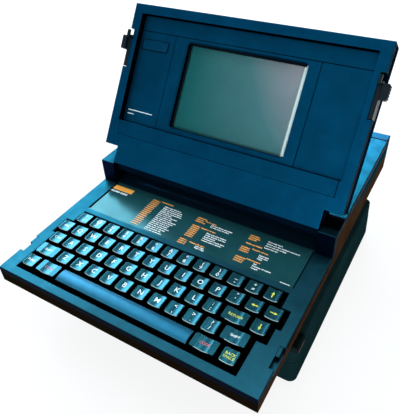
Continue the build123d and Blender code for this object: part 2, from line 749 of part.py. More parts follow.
# ---- inside the rear of the case -----------------------------------------------------------------
board_y = (relief_back + wall, rear_seam_y - 20)
supply_x = (-half_width + 16.0, -half_width + 88.0)
main_x = (supply_x[1] + 6.0, half_width - 18.0)
main_z = floor_top + main_board_rise
main_top = main_z + board_thickness
modem_y = board_y[1] - 14
modem_chip = (10.0, 4.0, 14.0)
chip_rows = 4
chip_gap = 6.0
chips_y = (board_y[0] + 6, modem_y - modem_chip[1] - chip_gap)  # room for the rows of small chips
chip_pitch = (20.0, (chips_y[1] - chips_y[0] + chip_gap) / chip_rows)
chip_size = (12.0, chip_pitch[1] - chip_gap)
processor_size = (56.0, 32.0, 5.4)
module_gap = 8.0
chips_x = main_x[0] + 6
wide_x = main_x[1] - 6 - processor_size[0]
wide_y = board_y[0] + 10
with BuildPart() as main_board:
    block(main_x, board_y, (main_z, main_top))
    for column in range(5):
        for row in range(chip_rows):
            x = chips_x + column * chip_pitch[0]
            y = chips_y[0] + row * chip_pitch[1]
            block((x, x + chip_size[0]), (y, y + chip_size[1]),
                  (main_top - chip_sink, main_top + chip_height))
    block((wide_x, wide_x + processor_size[0]), (wide_y, wide_y + processor_size[1]),
          (main_top - chip_sink, main_top + processor_size[2]))
    for x in (main_x[0] + 6, main_x[1] - 6):
        for y in (board_y[0] + 6, board_y[1] - 6):
            rod(x, y, (floor_top, main_z + 0.5), post_radius)
save(main_board.part, "main_board")

module_y = wide_y + processor_size[1] + module_gap
module_size = (56.0, board_y[1] - module_y - 26.0, 12.4)
with BuildPart() as memory_module:
    block((wide_x, wide_x + module_size[0]), (module_y, module_y + module_size[1]),
          (main_top, main_top + module_size[2]))
    fillet(memory_module.edges().filter_by(Axis.Z), 3)
save(memory_module.part, "memory_module")

modem_x = (main_x[0] + 4, main_x[0] + 100)
modem_height = 28.0
with BuildPart() as modem_board:
    block(modem_x, (modem_y, modem_y + board_thickness), (main_top, main_top + modem_height))
    for number in range(5):
        x = modem_x[0] + 6 + 18 * number
        block((x, x + modem_chip[0]), (modem_y - modem_chip[1], modem_y + chip_sink),
              (main_top + 6, main_top + 6 + modem_chip[2]))
save(modem_board.part, "modem_board")

with BuildPart() as power_supply:
    block(supply_x, (board_y[0], board_y[1] - 10), (floor_top, case_high - wall - 6))
    chamfer(power_supply.edges().group_by(Axis.Z)[-1], 1.5)
save(power_supply.part, "power_supply")

port_front = back - wall
port_seat = port_front - 0.2
port_margin = 3.0
port_body_z = (port_z - port_half - port_margin, port_z + port_half + port_margin)
plug_half = 4.5
inlet_depth = 14.0
inlet_wall = 2.0
jack_body_half = 8.5
jack_depth = 12.0
jack_wall = 1.0
tie_y = (port_front - 19.6, port_front - 18.0)
with BuildPart() as rear_ports:
    # two wide connectors with raised shells, the power inlet and two line jacks on one strip
    for x in (serial_x, bus_x):
        block((x[0] - port_margin, x[1] + port_margin), (port_front - 12, port_seat), port_body_z)
        block((x[0] + port_margin, x[1] - port_margin), (port_front - 1, back),
              (port_z - plug_half, port_z + plug_half))
        block((x[0] + 6, x[1] - 6), (tie_y[1] - 1, port_front - 11), (port_z - 6, port_z + 6))
    block((inlet_x[0] - port_margin, inlet_x[1] + port_margin), (tie_y[1], port_seat), port_body_z)
    block((inlet_x[0] + inlet_wall, inlet_x[1] - inlet_wall), (port_front - inlet_depth, port_front),
          (port_z - port_half + inlet_wall, port_z + port_half - inlet_wall), cut)
    for x in jack_xs:
        block((x - jack_body_half, x + jack_body_half), (port_front - 16, port_seat),
              (port_body_z[0], port_z + jack_top + port_margin))
        block((x - jack_half + jack_wall, x + jack_half - jack_wall), (port_front - jack_depth, port_front),
              (port_z - port_half + 2 * jack_wall, port_z + jack_top - 2 * jack_wall), cut)
        block((x - 4, x + 4), (tie_y[1] - 1, port_front - 15), (port_z - 4, port_z + 2))
    block((inlet_x[0] - port_margin, bus_x[1] + port_margin), tie_y, port_body_z)
save(rear_ports.part, "rear_ports")

rocker_axis_y = back - 4.0
rocker_tilt = 8.0  # degrees each side of level
rocker_half_length = (switch_x[1] - switch_x[0]) / 2 - 1.2
rocker_half_height = port_half - 0.8
rocker_face = 3.2  # ends of the rocker's face, out from its axis
rocker_dip = 1.6
rocker_foot = (2.5, -3.0)
rocker_middle_x = (switch_x[0] + switch_x[1]) / 2
rocker_plane = Plane(origin=(rocker_middle_x, rocker_axis_y, port_z - rocker_half_height),
                     x_dir=(cos(radians(rocker_tilt)), -sin(radians(rocker_tilt)), 0), z_dir=(0, 0, 1))
with BuildPart() as power_switch_body:
    block((switch_x[0] - port_margin, switch_x[1] + port_margin), (port_front - 14, port_seat), port_body_z)
    block((switch_x[0] + 0.2, switch_x[1] - 0.2), (port_front - 8, back),
          (port_z - port_half + 0.2, port_z + port_half - 0.2), cut)
save(power_switch_body.part, "power_switch_body")

with BuildPart(rocker_plane) as power_switch:
    with BuildSketch(rocker_plane):
        with BuildLine():
            Polyline((-rocker_half_length, rocker_face), (0, rocker_dip), (rocker_half_length, rocker_face),
                     (rocker_half_length, -0.6), rocker_foot, (-rocker_foot[0], rocker_foot[1]),
                     (-rocker_half_length, -0.6), close=True)
        make_face()
    extrude(amount=2 * rocker_half_height)
save(power_switch.part, "power_switch")

with BuildPart() as case_screws:
    for x, y in deck_screw_places + cover_screw_places:
        screw(x, y, case_low, boss_top + thread_length - 1)
save(case_screws.part, "case_screws")

# ---- lid -------------------------------------------------------------------------------------------
shell_top = -bezel_depth - seam
panel_z = (-recess_depth - panel_thickness, -recess_depth)  # back and front of the recess's panels
lid_screw_inset = lid_boss_radius + wall + 0.1
lid_screw_places = [(sx * x, y) for sx in (-1, 1)
                    for x, y in ((half_width - 26.0, lid_length - lid_screw_inset),
                                 (half_width - lid_screw_inset - 0.6, latch_low - 23.0),
                                 (half_width - 46.0, lid_screw_inset + 1.0))]
lid_hollow_z = -lid_thickness + wall
latch_pad = 2.5
tongue_end = 16.0  # solid ends of the tongue, around the bushes
tongue_core = 6.0  # solid round bar along the tongue's edge, from the hinge axis up


def lid_outline(low, high):
    """The lid's wide part and its tongue between two local heights."""
    block(both(half_width), (0, lid_length), (low, high))
    block(both(tongue_half_width), (-tongue_length, 0.5), (low, high))


def latch_slots(low, high):
    """Solid pads at both sides of the lid, with the latch slots cut into them."""
    for side in (-1, 1):
        block(sided(side, half_width - latch_slot_depth - latch_pad, half_width - 0.5),
              (latch_low - latch_pad, latch_high + latch_pad),
              (max(low, -latch_slot_height - latch_pad), high))
        block(sided(side, half_width - latch_slot_depth, half_width + 1), (latch_low, latch_high),
              (-latch_slot_height, 1), cut)


bush_radius = pin_radius + pin_play + bush_wall
with BuildPart(lid_plane) as lid_back_shell:
    lid_outline(-lid_thickness, shell_top)
    pin(both(tongue_half_width), -tongue_length, -inner_offset, barrel_radius)
    block(both(half_width - wall), (wall, lid_length - wall), (lid_hollow_z, 0), cut)
    block(both(tongue_half_width - tongue_end), (-tongue_length + tongue_core, wall + 1),
          (lid_hollow_z, 0), cut)
    latch_slots(-lid_thickness + 1, shell_top)
    for x, y in lid_screw_places:
        rod(x, y, (-lid_thickness + 1, shell_top), lid_boss_radius)
        screw_hole(x, y, -lid_thickness, 0)
    for side in (-1, 1):
        pin(sided(side, tongue_half_width - bush_length, tongue_half_width + 1), -tongue_length,
            -inner_offset, bush_radius + 0.02, cut)
    back_edges = lid_back_shell.edges().filter_by(at_height(-lid_thickness)).filter_by(GeomType.LINE)
    fillet(back_edges.filter_by(lambda edge: edge.center().Z > lid_origin.Z + 1), lid_edge_round)
save(lid_back_shell.part, "lid_back_shell")

with BuildPart(lid_plane) as lid_bezel:
    lid_outline(-bezel_depth, 0)
    block(both(half_width - wall), (wall, lid_length - wall), (-bezel_depth - 1, -wall), cut)
    block(both(tongue_half_width - wall), (-tongue_length + wall, wall + 1), (-bezel_depth - 1, -wall), cut)
    latch_slots(-bezel_depth, -0.5)
    block(both(recess_half_width + wall), (recess_low - wall, recess_high + wall), (panel_z[0] - 2, -1))
    block(both(recess_half_width), (recess_low, recess_high), (panel_z[0], 1), cut)
    block(both(recess_half_width - ledge_width), (recess_low + ledge_width, recess_high - ledge_width),
          (panel_z[0] - 3, 1), cut)
    block(both(strip_half_width + 3), (strip_low - 3, recess_low - 0.5), (-wall - 2, -1))
    block(both(strip_half_width + 0.2), (strip_low - 0.2, recess_low + 1), (-wall, 1), cut)
    for x, y in lid_screw_places:
        rod(x, y, (-bezel_depth, -1), lid_boss_radius)
        rod(x, y, (-bezel_depth - 1, -wall), screw_radius + screw_play, cut)
    fillet(lid_bezel.edges().filter_by(at_height(0)), lid_edge_round)
save(lid_bezel.part, "lid_bezel")

with BuildPart(lid_plane) as lid_lower_strip:
    block(both(strip_half_width), (strip_low, recess_low), (-wall, -wall + strip_thickness))
    chamfer(lid_lower_strip.edges().filter_by(at_height(-wall + strip_thickness)), panel_bevel)
save(lid_lower_strip.part, "lid_lower_strip")

half_gap = panel_gap / 2
panel_side = recess_half_width - panel_gap
with BuildPart(lid_plane) as lid_panel_top:
    block(both(panel_side), (groove_height + half_gap, recess_high - panel_gap), panel_z)
    chamfer(lid_panel_top.edges().filter_by(at_height(panel_z[1])), panel_bevel)
save(lid_panel_top.part, "lid_panel_top")

side_panels = {"lid_panel_left": (-panel_side, groove_left - half_gap),
               "lid_panel_right": (groove_right + half_gap, panel_side)}
for name, panel_x in side_panels.items():
    with BuildPart(lid_plane) as side_panel:
        block(panel_x, (recess_low + panel_gap, groove_height - half_gap), panel_z)
        chamfer(side_panel.edges().filter_by(at_height(panel_z[1])), panel_bevel)
    save(side_panel.part, name)

window_x = (window_left, window_right)
window_y = (window_low, window_high)
window_middle = (sum(window_x) / 2, sum(window_y) / 2)
window_size = (window_right - window_left, window_high - window_low)
window_rim = 2.5


def window_prism(margin, low, high, mode=Mode.ADD):
    """A rounded prism over the window, wider by a margin, between two local heights."""
    with BuildSketch(lid_plane.offset(low)) as outline:
        with Locations(window_middle):
            RectangleRounded(window_size[0] + 2 * margin, window_size[1] + 2 * margin,
                             window_corner + margin)
    extrude(outline.sketch, amount=high - low, mode=mode)


glass_z = panel_z[1] - window_depth
with BuildPart(lid_plane) as screen_surround:
    block((groove_left + half_gap, groove_right - half_gap),
          (recess_low + panel_gap, groove_height - half_gap), panel_z)
    chamfer(screen_surround.edges().filter_by(at_height(panel_z[1])), panel_bevel)
    window_prism(window_rim, glass_z, panel_z[0] + 0.5)
    window_prism(0, glass_z - 1, panel_z[1] + 1, cut)
    mouth = screen_surround.faces().sort_by(lambda face: face.center().dot(off_lid))[-1].inner_wires()[0]
    chamfer(mouth.edges(), window_bevel)
save(screen_surround.part, "screen_surround")

with BuildPart(lid_plane) as screen_glass:
    window_prism(window_rim - 0.3, glass_z - glass_thickness, glass_z)
save(screen_glass.part, "screen_glass")

stand_off = 4.0
stand_radius = 2.5
display_z = (lid_hollow_z + stand_off, glass_z - glass_thickness - 0.2)
display_x = (window_left - 8, window_right + 8)
display_y = (window_low - 4, window_high + 5)
with BuildPart(lid_plane) as display_panel:
    block(display_x, display_y, display_z)
    for x in (display_x[0] + 4, display_x[1] - 4):
        for y in (display_y[0] + 4, display_y[1] - 4):
            rod(x, y, (lid_hollow_z, display_z[0] + 0.5), stand_radius)
save(display_panel.part, "display_panel")

driver_x = (-half_width + 18, display_x[0] - 6)
driver_y = (display_y[0] + 6, display_y[1] + 10)
driver_z = lid_hollow_z + stand_off
driver_chip = (18.0, 10.0)
with BuildPart(lid_plane) as driver_board:
    block(driver_x, driver_y, (driver_z, driver_z + board_thickness))
    for number in range(6):
        y = driver_y[0] + 8 + 17 * number
        block((driver_x[0] + 6, driver_x[0] + 6 + driver_chip[0]), (y, y + driver_chip[1]),
              (driver_z + board_thickness - chip_sink, driver_z + board_thickness + chip_height - 0.5))
    for x in (driver_x[0] + 4, driver_x[1] - 4):
        for y in (driver_y[0] + 4, driver_y[1] - 4):
            rod(x, y, (lid_hollow_z, driver_z + 0.5), stand_radius)
save(driver_board.part, "driver_board")

with BuildPart(lid_plane) as hinge_bushes:
    for side in (-1, 1):
        bush_x = sided(side, tongue_half_width - bush_length, tongue_half_width)
        pin(bush_x, -tongue_length, -inner_offset, bush_radius)
        pin(sided(side, tongue_half_width - bush_length - 1, tongue_half_width + 1), -tongue_length,
            -inner_offset, pin_radius + pin_play, cut)
save(hinge_bushes.part, "hinge_bushes")

with BuildPart(lid_plane) as lid_screws:
    for x, y in lid_screw_places:
        screw(x, y, -lid_thickness, -wall - 0.5)
save(lid_screws.part, "lid_screws")

slider_low = latch_low + latch_end_gap
knob_face = half_width + knob_reach
knob_ribs = 4
rib_depth = 0.6
for side, name in ((-1, "latch_left"), (1, "latch_right")):
    with BuildPart(lid_plane) as latch:
        # the slider that lies in the slot of the lid's side
        block(sided(side, half_width - latch_slot_depth + latch_play, half_width - 0.4),
              (slider_low, slider_low + latch_length), (-latch_slot_height + latch_play, -0.4))
        # the thumb knob on it, which reaches past the lid's inner face
        block(sided(side, half_width - 1, half_width + knob_reach), (knob_low, knob_high),
              (-knob_depth, -0.6))
        block(sided(side, half_width + knob_gap, half_width + knob_reach), (knob_low, knob_high),
              (-1, knob_rise))
        knob_edges = latch.edges().filter_by(lambda edge: abs(edge.center().X) > knob_face - 0.1)
        chamfer(knob_edges, knob_bevel)
        rib_pitch = (knob_high - knob_low - 2 * knob_bevel) / knob_ribs
        for rib in range(knob_ribs):
            rib_y = knob_low + knob_bevel + (rib + 0.5) * rib_pitch
            block(sided(side, knob_face - rib_depth, knob_face + 1),
                  (rib_y - 0.6, rib_y + 0.6), (-knob_depth - 1, knob_rise + 1), cut)
        # the hook that grips the deck's edge
        nose_x = sided(side, notch_inner + 0.6, half_width - 1.4)
        block(nose_x, (hook_low, hook_low + hook_shank), (-1, hook_reach))
        block(nose_x, (hook_low + hook_shank - 0.5, hook_low + hook_length),
              (hook_reach - hook_tooth, hook_reach))
    save(latch.part, name)
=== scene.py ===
"""Looks of a vintage clamshell luggable computer that stands open on its battery base unit.

The packed model is the frame. The operators give its nodes their finishes and add the key legends, the
print of the card and dark lines of painted shade beside it, the blank badge with a ring of painted shade
and two lines on the lid, dark strips of painted shade on the window, the contacts of the rear connectors,
the marks of the power switch, the stage, the lamps and the camera.
"""
import json
import math

import bmesh
import bpy
from bpy.props import FloatProperty, FloatVectorProperty, PointerProperty
from bpy.types import Operator, Panel, PropertyGroup
from mathutils import Matrix, Vector
from mathutils.bvhtree import BVHTree


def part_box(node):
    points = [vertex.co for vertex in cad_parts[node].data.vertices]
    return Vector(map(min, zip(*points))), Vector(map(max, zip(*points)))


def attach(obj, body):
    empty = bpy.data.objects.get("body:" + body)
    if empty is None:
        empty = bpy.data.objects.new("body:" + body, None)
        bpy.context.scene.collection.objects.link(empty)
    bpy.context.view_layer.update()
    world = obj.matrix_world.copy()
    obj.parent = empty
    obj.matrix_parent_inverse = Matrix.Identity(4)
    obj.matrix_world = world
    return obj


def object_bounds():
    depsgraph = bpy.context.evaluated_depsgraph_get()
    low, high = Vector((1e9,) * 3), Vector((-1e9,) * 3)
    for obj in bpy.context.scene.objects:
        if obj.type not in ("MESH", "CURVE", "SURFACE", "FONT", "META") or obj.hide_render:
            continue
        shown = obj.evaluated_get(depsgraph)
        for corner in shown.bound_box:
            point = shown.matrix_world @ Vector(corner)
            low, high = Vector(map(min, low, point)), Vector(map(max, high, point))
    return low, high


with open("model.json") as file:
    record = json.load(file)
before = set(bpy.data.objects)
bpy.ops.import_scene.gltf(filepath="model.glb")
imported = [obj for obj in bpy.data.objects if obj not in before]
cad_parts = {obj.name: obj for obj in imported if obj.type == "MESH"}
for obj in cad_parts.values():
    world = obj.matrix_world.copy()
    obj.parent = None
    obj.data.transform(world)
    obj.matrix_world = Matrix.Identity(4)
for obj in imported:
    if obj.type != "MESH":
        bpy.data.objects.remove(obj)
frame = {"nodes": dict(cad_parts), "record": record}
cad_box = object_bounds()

bl_info = {
    "name": "Luggable computer looks",
    "version": (1, 0, 0),
    "blender": (4, 5, 0),
    "location": "3D View > Sidebar > Luggable",
    "description": "Finishes, legends and stage for a clamshell luggable computer",
    "category": "Object",
}

NODES = frame["nodes"]
BODY_OF = {node: body for body, nodes in frame["record"]["behaviour"]["bodies"].items() for node in nodes}

MM = 0.001
UP = (0.0, 0.0, 1.0)
RIGHT = (1.0, 0.0, 0.0)
UP_LID = Vector((0, 0.55412, 0.83244))  # up the open lid
OFF_LID = Vector((0, -0.83244, 0.55412))  # out of its face
HINGE = Vector((0, -2.6, 94.4))  # middle of the lid's hinge, in mm
TONGUE = 20.2  # mm from the hinge up to the wide part of the lid
LID_FACE = 18.9  # mm from the hinge out to the face of the lid
LID_RECESS = -8.0 * MM  # floor of the recess in that face
GLASS_FRONT = -14.0 * MM  # front of the window's glass
GLASS_RIM = 2.2 * MM  # how far the glass reaches under the surround
POST_START = (0.110, 0.125)  # from here on to the right the top of the rear cover is a post, which carries the painted shadow of the lid
BEVEL_START = (0.060, 0.065)  # from here on to the right the window's bevel carries a painted highlight
PAN_RIM_START = (0.030, 0.100)  # from here on to the rear the pan's rim is unworn
CAP_GAP = 1.6 * MM  # between two key caps
ABOVE_KEYS = 0.2  # a height over all of the keys, in metres
PRINT_THICKNESS = 0.00008  # of the card's print

NOISE = (0.3, 0.7)  # most values of a noise lie in this span
FLAT = (0.45, 0.85)  # how squarely a face looks a certain way, from its side to its flat part
CAP_TOP = (0.90, 0.94)  # the same for the top of a key cap, inside its rim, which takes a painted highlight
CAP_SIDE = (0.4, 0.5)  # and for the top with its rim, beyond which the sides take painted shade
BEVEL = (0.96, 0.985)  # and for the window's bevel with its painted highlight
SILL = (0.9, 0.97)  # and for the window's sill with its painted reflection of the display
DARK_EDGE = (0.04, 0.14, 0.20, 1.0)  # tint of the paint's gloss where it is seen along the surface
PANEL_MATT = 0.06  # how much rougher the panels and the surround are than the frame of the lid
PAINT = {"grain": 1700.0, "relief": 0.00003, "mottle": 0.2, "Specular_Tint": DARK_EDGE}

WINDOW_SIDE = (-0.80, 0.36, 0.48)  # towards the window
STAGE_MIDDLE = Vector((0.0, 0.0, 0.08))  # what the lamps look at
CAMERA_PLACE = (0.21856, -0.37076, 0.42979)
CAMERA_TURN = (51.517, 2.569, 30.900)  # degrees
CAMERA_SHIFT = (0.0050, -0.0277)


def shade(name, text, colour):
    """A colour setting of a property group."""
    return FloatVectorProperty(name=name, description=text, default=colour, subtype="COLOR", size=3,
                               min=0.0, max=1.0)


def length(name, text, metres):
    """A length setting of a property group."""
    return FloatProperty(name=name, description=text, default=metres, unit="LENGTH", min=0.0, precision=5)


def factor(name, text, share):
    """A setting from 0 to 1 of a property group."""
    return FloatProperty(name=name, description=text, default=share, subtype="FACTOR", min=0.0, max=1.0)


def power(name, text, watts):
    """The power of a lamp, as a setting of a property group."""
    return FloatProperty(name=name, description=text, default=watts, unit="POWER", min=0.0)


class CaseSettings(PropertyGroup):
    """Paint of the case, the lid and the base unit."""
    paint: shade("Case paint", "Paint of the deck and the rear cover", (0.012, 0.070, 0.098))
    lid: shade("Lid paint", "Paint of the lid's frame", (0.0008, 0.056, 0.130))
    panel: shade("Lid panels", "Paint of the panels that surround the screen", (0.0008, 0.052, 0.118))
    # Painted shade on the parts of the lid where they turn away from its face; also the colour of the painted
    # shadow on the post, of the dark seam behind the rear cover and, a little lighter, of the lid's back
    # shell
    shadow: shade("Paint, sides", "The paint where it turns away to the sides", (0.0006, 0.004, 0.010))
    # Painted shade: the deck and the rear cover take this colour on faces that turn away from the top
    skirt_shade: shade("Paint, skirts", "The paint on the skirts of deck and cover", (0.0008, 0.009, 0.026))
    # Painted shadow of the lid on the deck, in a band just before the hinge, and the depth of that band
    band: shade("Band colour", "The paint of the deck just before the hinge", (0.013, 0.058, 0.115))
    hinge_shadow_depth: length("Dark band", "Depth of the dark band before the hinge", 0.006)
    # Length of the painted shadow of the lid on the post at the right of the hinge
    post_shadow_length: length("Dark post", "Length of the darker post at the right of the hinge", 0.034)
    pan: shade("Pan", "Dark paint of the lower pan", (0.007, 0.004, 0.002))
    # Painted warm light: the pan's right side is lighter and browner than the rest of the pan
    pan_warm_lit_side: shade("Pan, right side", "Worn paint of the pan's right side", (0.040, 0.018, 0.008))
    # Teal band along the top of that side, towards the rear, where the painted warm light stops
    pan_rim: shade("Pan, rim", "Unworn paint along the top of the pan's right side", (0.002, 0.026, 0.042))
    pan_rim_height: length("Pan rim height", "Height of the unworn rim", 0.015)
    dock: shade("Base unit", "Moulded base unit", (0.006, 0.020, 0.022))
    paint_roughness: factor("Paint roughness", "Roughness of the case paint", 0.36)


class KeySettings(PropertyGroup):
    """Key caps and what is printed on them."""
    # The tops keep the caps' own colour; the rims carry a painted highlight and the sides painted shade
    top: shade("Cap tops", "Worn and polished tops of the key caps", (0.014, 0.094, 0.124))
    rim: shade("Cap rims", "Polished edges of the key caps", (0.450, 0.700, 0.760))
    side: shade("Cap sides", "Sides of the key caps", (0.001, 0.002, 0.004))
    bar: shade("Space bar", "Top of the space bar", (0.016, 0.125, 0.205))
    # Painted highlight along the edge of the space bar
    bar_rim_highlight: shade("Space bar rim", "Edge of the space bar", (0.050, 0.250, 0.350))
    cap_roughness: factor("Cap roughness", "Roughness of the key caps", 0.25)
    bar_roughness: factor("Space bar roughness", "Roughness of the space bar", 0.44)
    white: shade("White legend", "Letters and numbers", (0.780, 0.860, 0.860))
    yellow: shade("Yellow legend", "Return, backspace and the arrows", (0.620, 0.660, 0.060))
    red: shade("Red legend", "The two wide keys beside the space bar", (0.600, 0.080, 0.100))
    letter: length("Letter size", "Type size of a single letter", 0.0077)
    pair: length("Pair size", "Type size of a key with two signs", 0.0060)
    word: length("Word size", "Type size of a word on a key", 0.0037)
    arrow: length("Arrow size", "Half the length of an arrow", 0.0034)
    weight: length("Stroke weight", "How much wider the strokes are than the plain type", 0.00004)
    thickness: length("Ink thickness", "How far a legend stands out of its cap", 0.00008)


class CardSettings(PropertyGroup):
    """The printed card behind the keyboard."""
    ground: shade("Card", "Ground colour of the card", (0.016, 0.095, 0.108))
    orange: shade("Headings", "Orange print", (1.000, 0.400, 0.060))
    white: shade("Lines", "White print", (0.900, 1.000, 0.970))
    # Painted shade: dark lines beside the card stand for the shade on the walls of its recess
    gap: shade("Gap", "Shadow gap beside the card", (0.001, 0.002, 0.004))
    orange_weight: length("Heading weight", "How much wider the orange strokes are", 0.00012)
    white_weight: length("Line weight", "How much wider the white strokes are", 0.00007)
    type_size: length("Type size", "Size of the printed lines", 0.0022)
    stretch: FloatProperty(name="Stretch", description="How much wider than usual the type is",
                           default=1.25, min=0.5, max=2.0)
    title_size: length("Title size", "Size of the title under the orange bar", 0.0034)
    # Width of the painted shade line at the left end of the card
    gap_shade_width: length("Gap width", "Width of the gap at the left end of the card", 0.0022)
    bar_length: length("Bar length", "Length of the plain orange bar", 0.0320)
    bar_height: length("Bar height", "Height of the plain orange bar", 0.0075)


class ScreenSettings(PropertyGroup):
    """The display and its window."""
    # Painted reflection: the unlit display grows paler from left to right
    left: shade("Display, left", "Unlit display at its left end", (0.002, 0.112, 0.118))
    middle: shade("Display, middle", "Unlit display at its middle", (0.060, 0.185, 0.200))
    right: shade("Display, right", "Unlit display at its right end", (0.370, 0.350, 0.390))
    # Painted highlight on the right bevel of the window and on the strip at the right of the glass
    bevel: shade("Bright bevel", "Polished edge at the right of the window", (0.820, 0.960, 0.930))
    # Painted reflection of the display on the window's lower wall
    sill: shade("Sill", "Lower wall of the window, which mirrors the display", (0.006, 0.070, 0.085))
    # Width of the glass's strip with the painted highlight
    edge: length("Glass edge", "Width of the polished strip at the right of the glass", 0.0052)
    glass: shade("Glass", "Tint of the window", (0.020, 0.060, 0.060))


class StageSettings(PropertyGroup):
    """Floor, lamps and camera."""
    floor: shade("Floor", "Colour of the floor", (0.880, 0.880, 0.880))
    floor_size: length("Floor size", "Length and width of the floor", 8.0)
    sky: FloatProperty(name="Sky", description="Strength of the even light from all around", default=0.72,
                       min=0.0, max=4.0)
    flag: factor("Flag", "Share of the sky beside the window", 0.22)
    daylight: shade("Daylight", "Colour of the other lamps", (0.680, 0.900, 1.000))
    window_light: shade("Window light", "Colour of the window lamp", (0.760, 0.860, 1.000))
    window_size: length("Window lamp size", "Width of the large lamp", 1.1)
    window_power: power("Window lamp", "Power of the large lamp at the rear left", 31.0)
    rear_power: power("Rear lamp", "Power of the lamp behind the lid", 27.0)
    front_power: power("Front lamp", "Power of the lamp in front of the lid", 11.0)
    fill_power: power("Top lamp", "Power of the lamp overhead", 13.0)
    lens: FloatProperty(name="Lens", description="Focal length of the camera", default=43.50, unit="CAMERA")


GROUPS = {
    "luggable_case": CaseSettings,
    "luggable_keys": KeySettings,
    "luggable_card": CardSettings,
    "luggable_screen": ScreenSettings,
    "luggable_stage": StageSettings,
}


# ---- materials -------------------------------------------------------------------------------
def material(name, **sockets):
    """A material with one shader whose sockets are set by name, with _ for a space."""
    made = bpy.data.materials.new(name)
    made.use_nodes = True
    for socket, value in sockets.items():
        shader_of(made).inputs[socket.replace("_", " ")].default_value = value
    return made


def shader_of(made):
    """The shader of a material."""
    return made.node_tree.nodes["Principled BSDF"]


def add_node(made, kind, inputs=None, **settings):
    """A node of a material or world, with its settings and the values or links of its inputs."""
    node = made.node_tree.nodes.new("ShaderNode" + kind)
    for key, value in settings.items():
        setattr(node, key, value)
    for key, value in (inputs or {}).items():
        if isinstance(value, bpy.types.NodeSocket):
            made.node_tree.links.new(value, node.inputs[key])
        else:
            node.inputs[key].default_value = value
    return node


def connect(made, output, socket):
    """Links an output to a socket of the material's shader."""
    made.node_tree.links.new(output, shader_of(made).inputs[socket])


def place(made):
    """Position on the object, in metres."""
    return add_node(made, "TexCoord").outputs["Object"]


def along(made, axis):
    """Position on the object along one axis, in metres."""
    return add_node(made, "SeparateXYZ", {"Vector": place(made)}).outputs[axis]


def noise(made, scale, detail=3.0, roughness=0.5):
    """Value of a noise on the object."""
    return add_node(made, "TexNoise", {"Vector": place(made), "Scale": scale, "Detail": detail,
                                       "Roughness": roughness}).outputs["Fac"]


def ramp(made, value, stops):
    """Colours along a value, as position and colour pairs."""
    node = add_node(made, "ValToRGB", {"Fac": value})
    points = node.color_ramp.elements
    while len(points) < len(stops):
        points.new(0.5)
    for point, (position, colour) in zip(points, stops):
        point.position = position
        point.color = (*colour, 1.0)
    return node.outputs["Color"]


def greys(*stops):
    """Stops of a ramp that gives a plain share, as position and share pairs."""
    return [(position, (share,) * 3) for position, share in stops]


def clouded(made, value, first, second):
    """Two colours that take turns over a noise."""
    return ramp(made, value, ((NOISE[0], first), (NOISE[1], second)))


def mix(made, share, first, second, blend="MIX"):
    """A mix of two colours."""
    node = add_node(made, "Mix", data_type="RGBA", blend_type=blend)
    sockets = [s for s in node.inputs if s.enabled]
    for socket, value in zip(sockets, (share, first, second)):
        if isinstance(value, bpy.types.NodeSocket):
            made.node_tree.links.new(value, socket)
        else:
            socket.default_value = value if isinstance(value, float) else (*value, 1.0)
    return next(s for s in node.outputs if s.enabled)


def overlay(made, share, colour):
    """Lays another colour over the one that the material has, by a share."""
    held = shader_of(made).inputs["Base Color"].links[0].from_socket
    connect(made, mix(made, share, held, colour), "Base Color")


def scaled(colour, share):
    """A colour made lighter or darker."""
    return tuple(min(c * share, 1.0) for c in colour)


def mapped(made, value, low, high, start=0.0, end=1.0):
    """A value that runs from start to end while another runs from low to high, and stays there."""
    return add_node(made, "MapRange", {"Value": value, "From Min": low, "From Max": high, "To Min": start,
                                       "To Max": end}).outputs["Result"]


def computed(made, operation, *values):
    """The result of a sum, product or the like."""
    return add_node(made, "Math", dict(enumerate(values)), operation=operation).outputs["Value"]


def facing(made, direction, low, high):
    """How far a surface faces a direction of the object, from 0 to 1."""
    normal = add_node(made, "TexCoord").outputs["Normal"]
    turned = add_node(made, "VectorMath", {0: normal, 1: direction}, operation="DOT_PRODUCT")
    return mapped(made, turned.outputs["Value"], low, high)


def grained(made, scale, depth):
    """Gives the material a fine relief, with its depth in metres."""
    fine = add_node(made, "Bump", {"Height": noise(made, scale, 2.0), "Distance": depth, "Strength": 1.0})
    connect(made, fine.outputs["Normal"], "Normal")


def coated(name, colour, roughness, mottle=0.12, patches=28.0, grain=1400.0, relief=0.00004,
           side=None, front=UP, **sockets):
    """Painted or moulded surface: uneven colour, fine grain in its relief and gloss that varies.
    Where a side colour is given, faces that turn away from front take it instead: painted shade on the sides
    of the case and the lid, and on the pan its dark paint beside the painted warm light of its right side.
    """
    made = material(name, **sockets)
    cloud = noise(made, patches, 6.0, roughness=0.7)
    tone = clouded(made, cloud, scaled(colour, 1 - mottle), scaled(colour, 1 + mottle))
    if side:
        # Where a side colour is given it covers the faces that turn away from front; most callers use this
        # for painted shade
        tone = mix(made, facing(made, front, *FLAT), side, tone)
    connect(made, tone, "Base Color")
    gloss = mapped(made, noise(made, patches * 2.5, 5.0), *NOISE, roughness * 0.85, roughness * 1.15)
    connect(made, gloss, "Roughness")
    grained(made, grain, relief)
    return made


def case_coat(name, case):
    """Paint of the deck and the rear cover, with painted shade on the skirts and other faces that turn away
    from the top.
    """
    return coated(name, case.paint, case.paint_roughness, side=case.skirt_shade, Metallic=0.88,
                  Specular_IOR_Level=0.1, **PAINT)


def lid_coat(name, colour, roughness, case):
    """Paint of a part of the lid, with painted shade where it turns away from the lid's face."""
    return coated(name, colour, roughness, side=case.shadow, front=OFF_LID, Metallic=0.9,
                  Specular_IOR_Level=0.05, **PAINT)


def dress(made, *names):
    """Puts one material on the named nodes."""
    for name in names:
        node = NODES[name]
        if not node.material_slots:
            node.data.materials.append(made)
        for held in node.material_slots:
            held.material = made


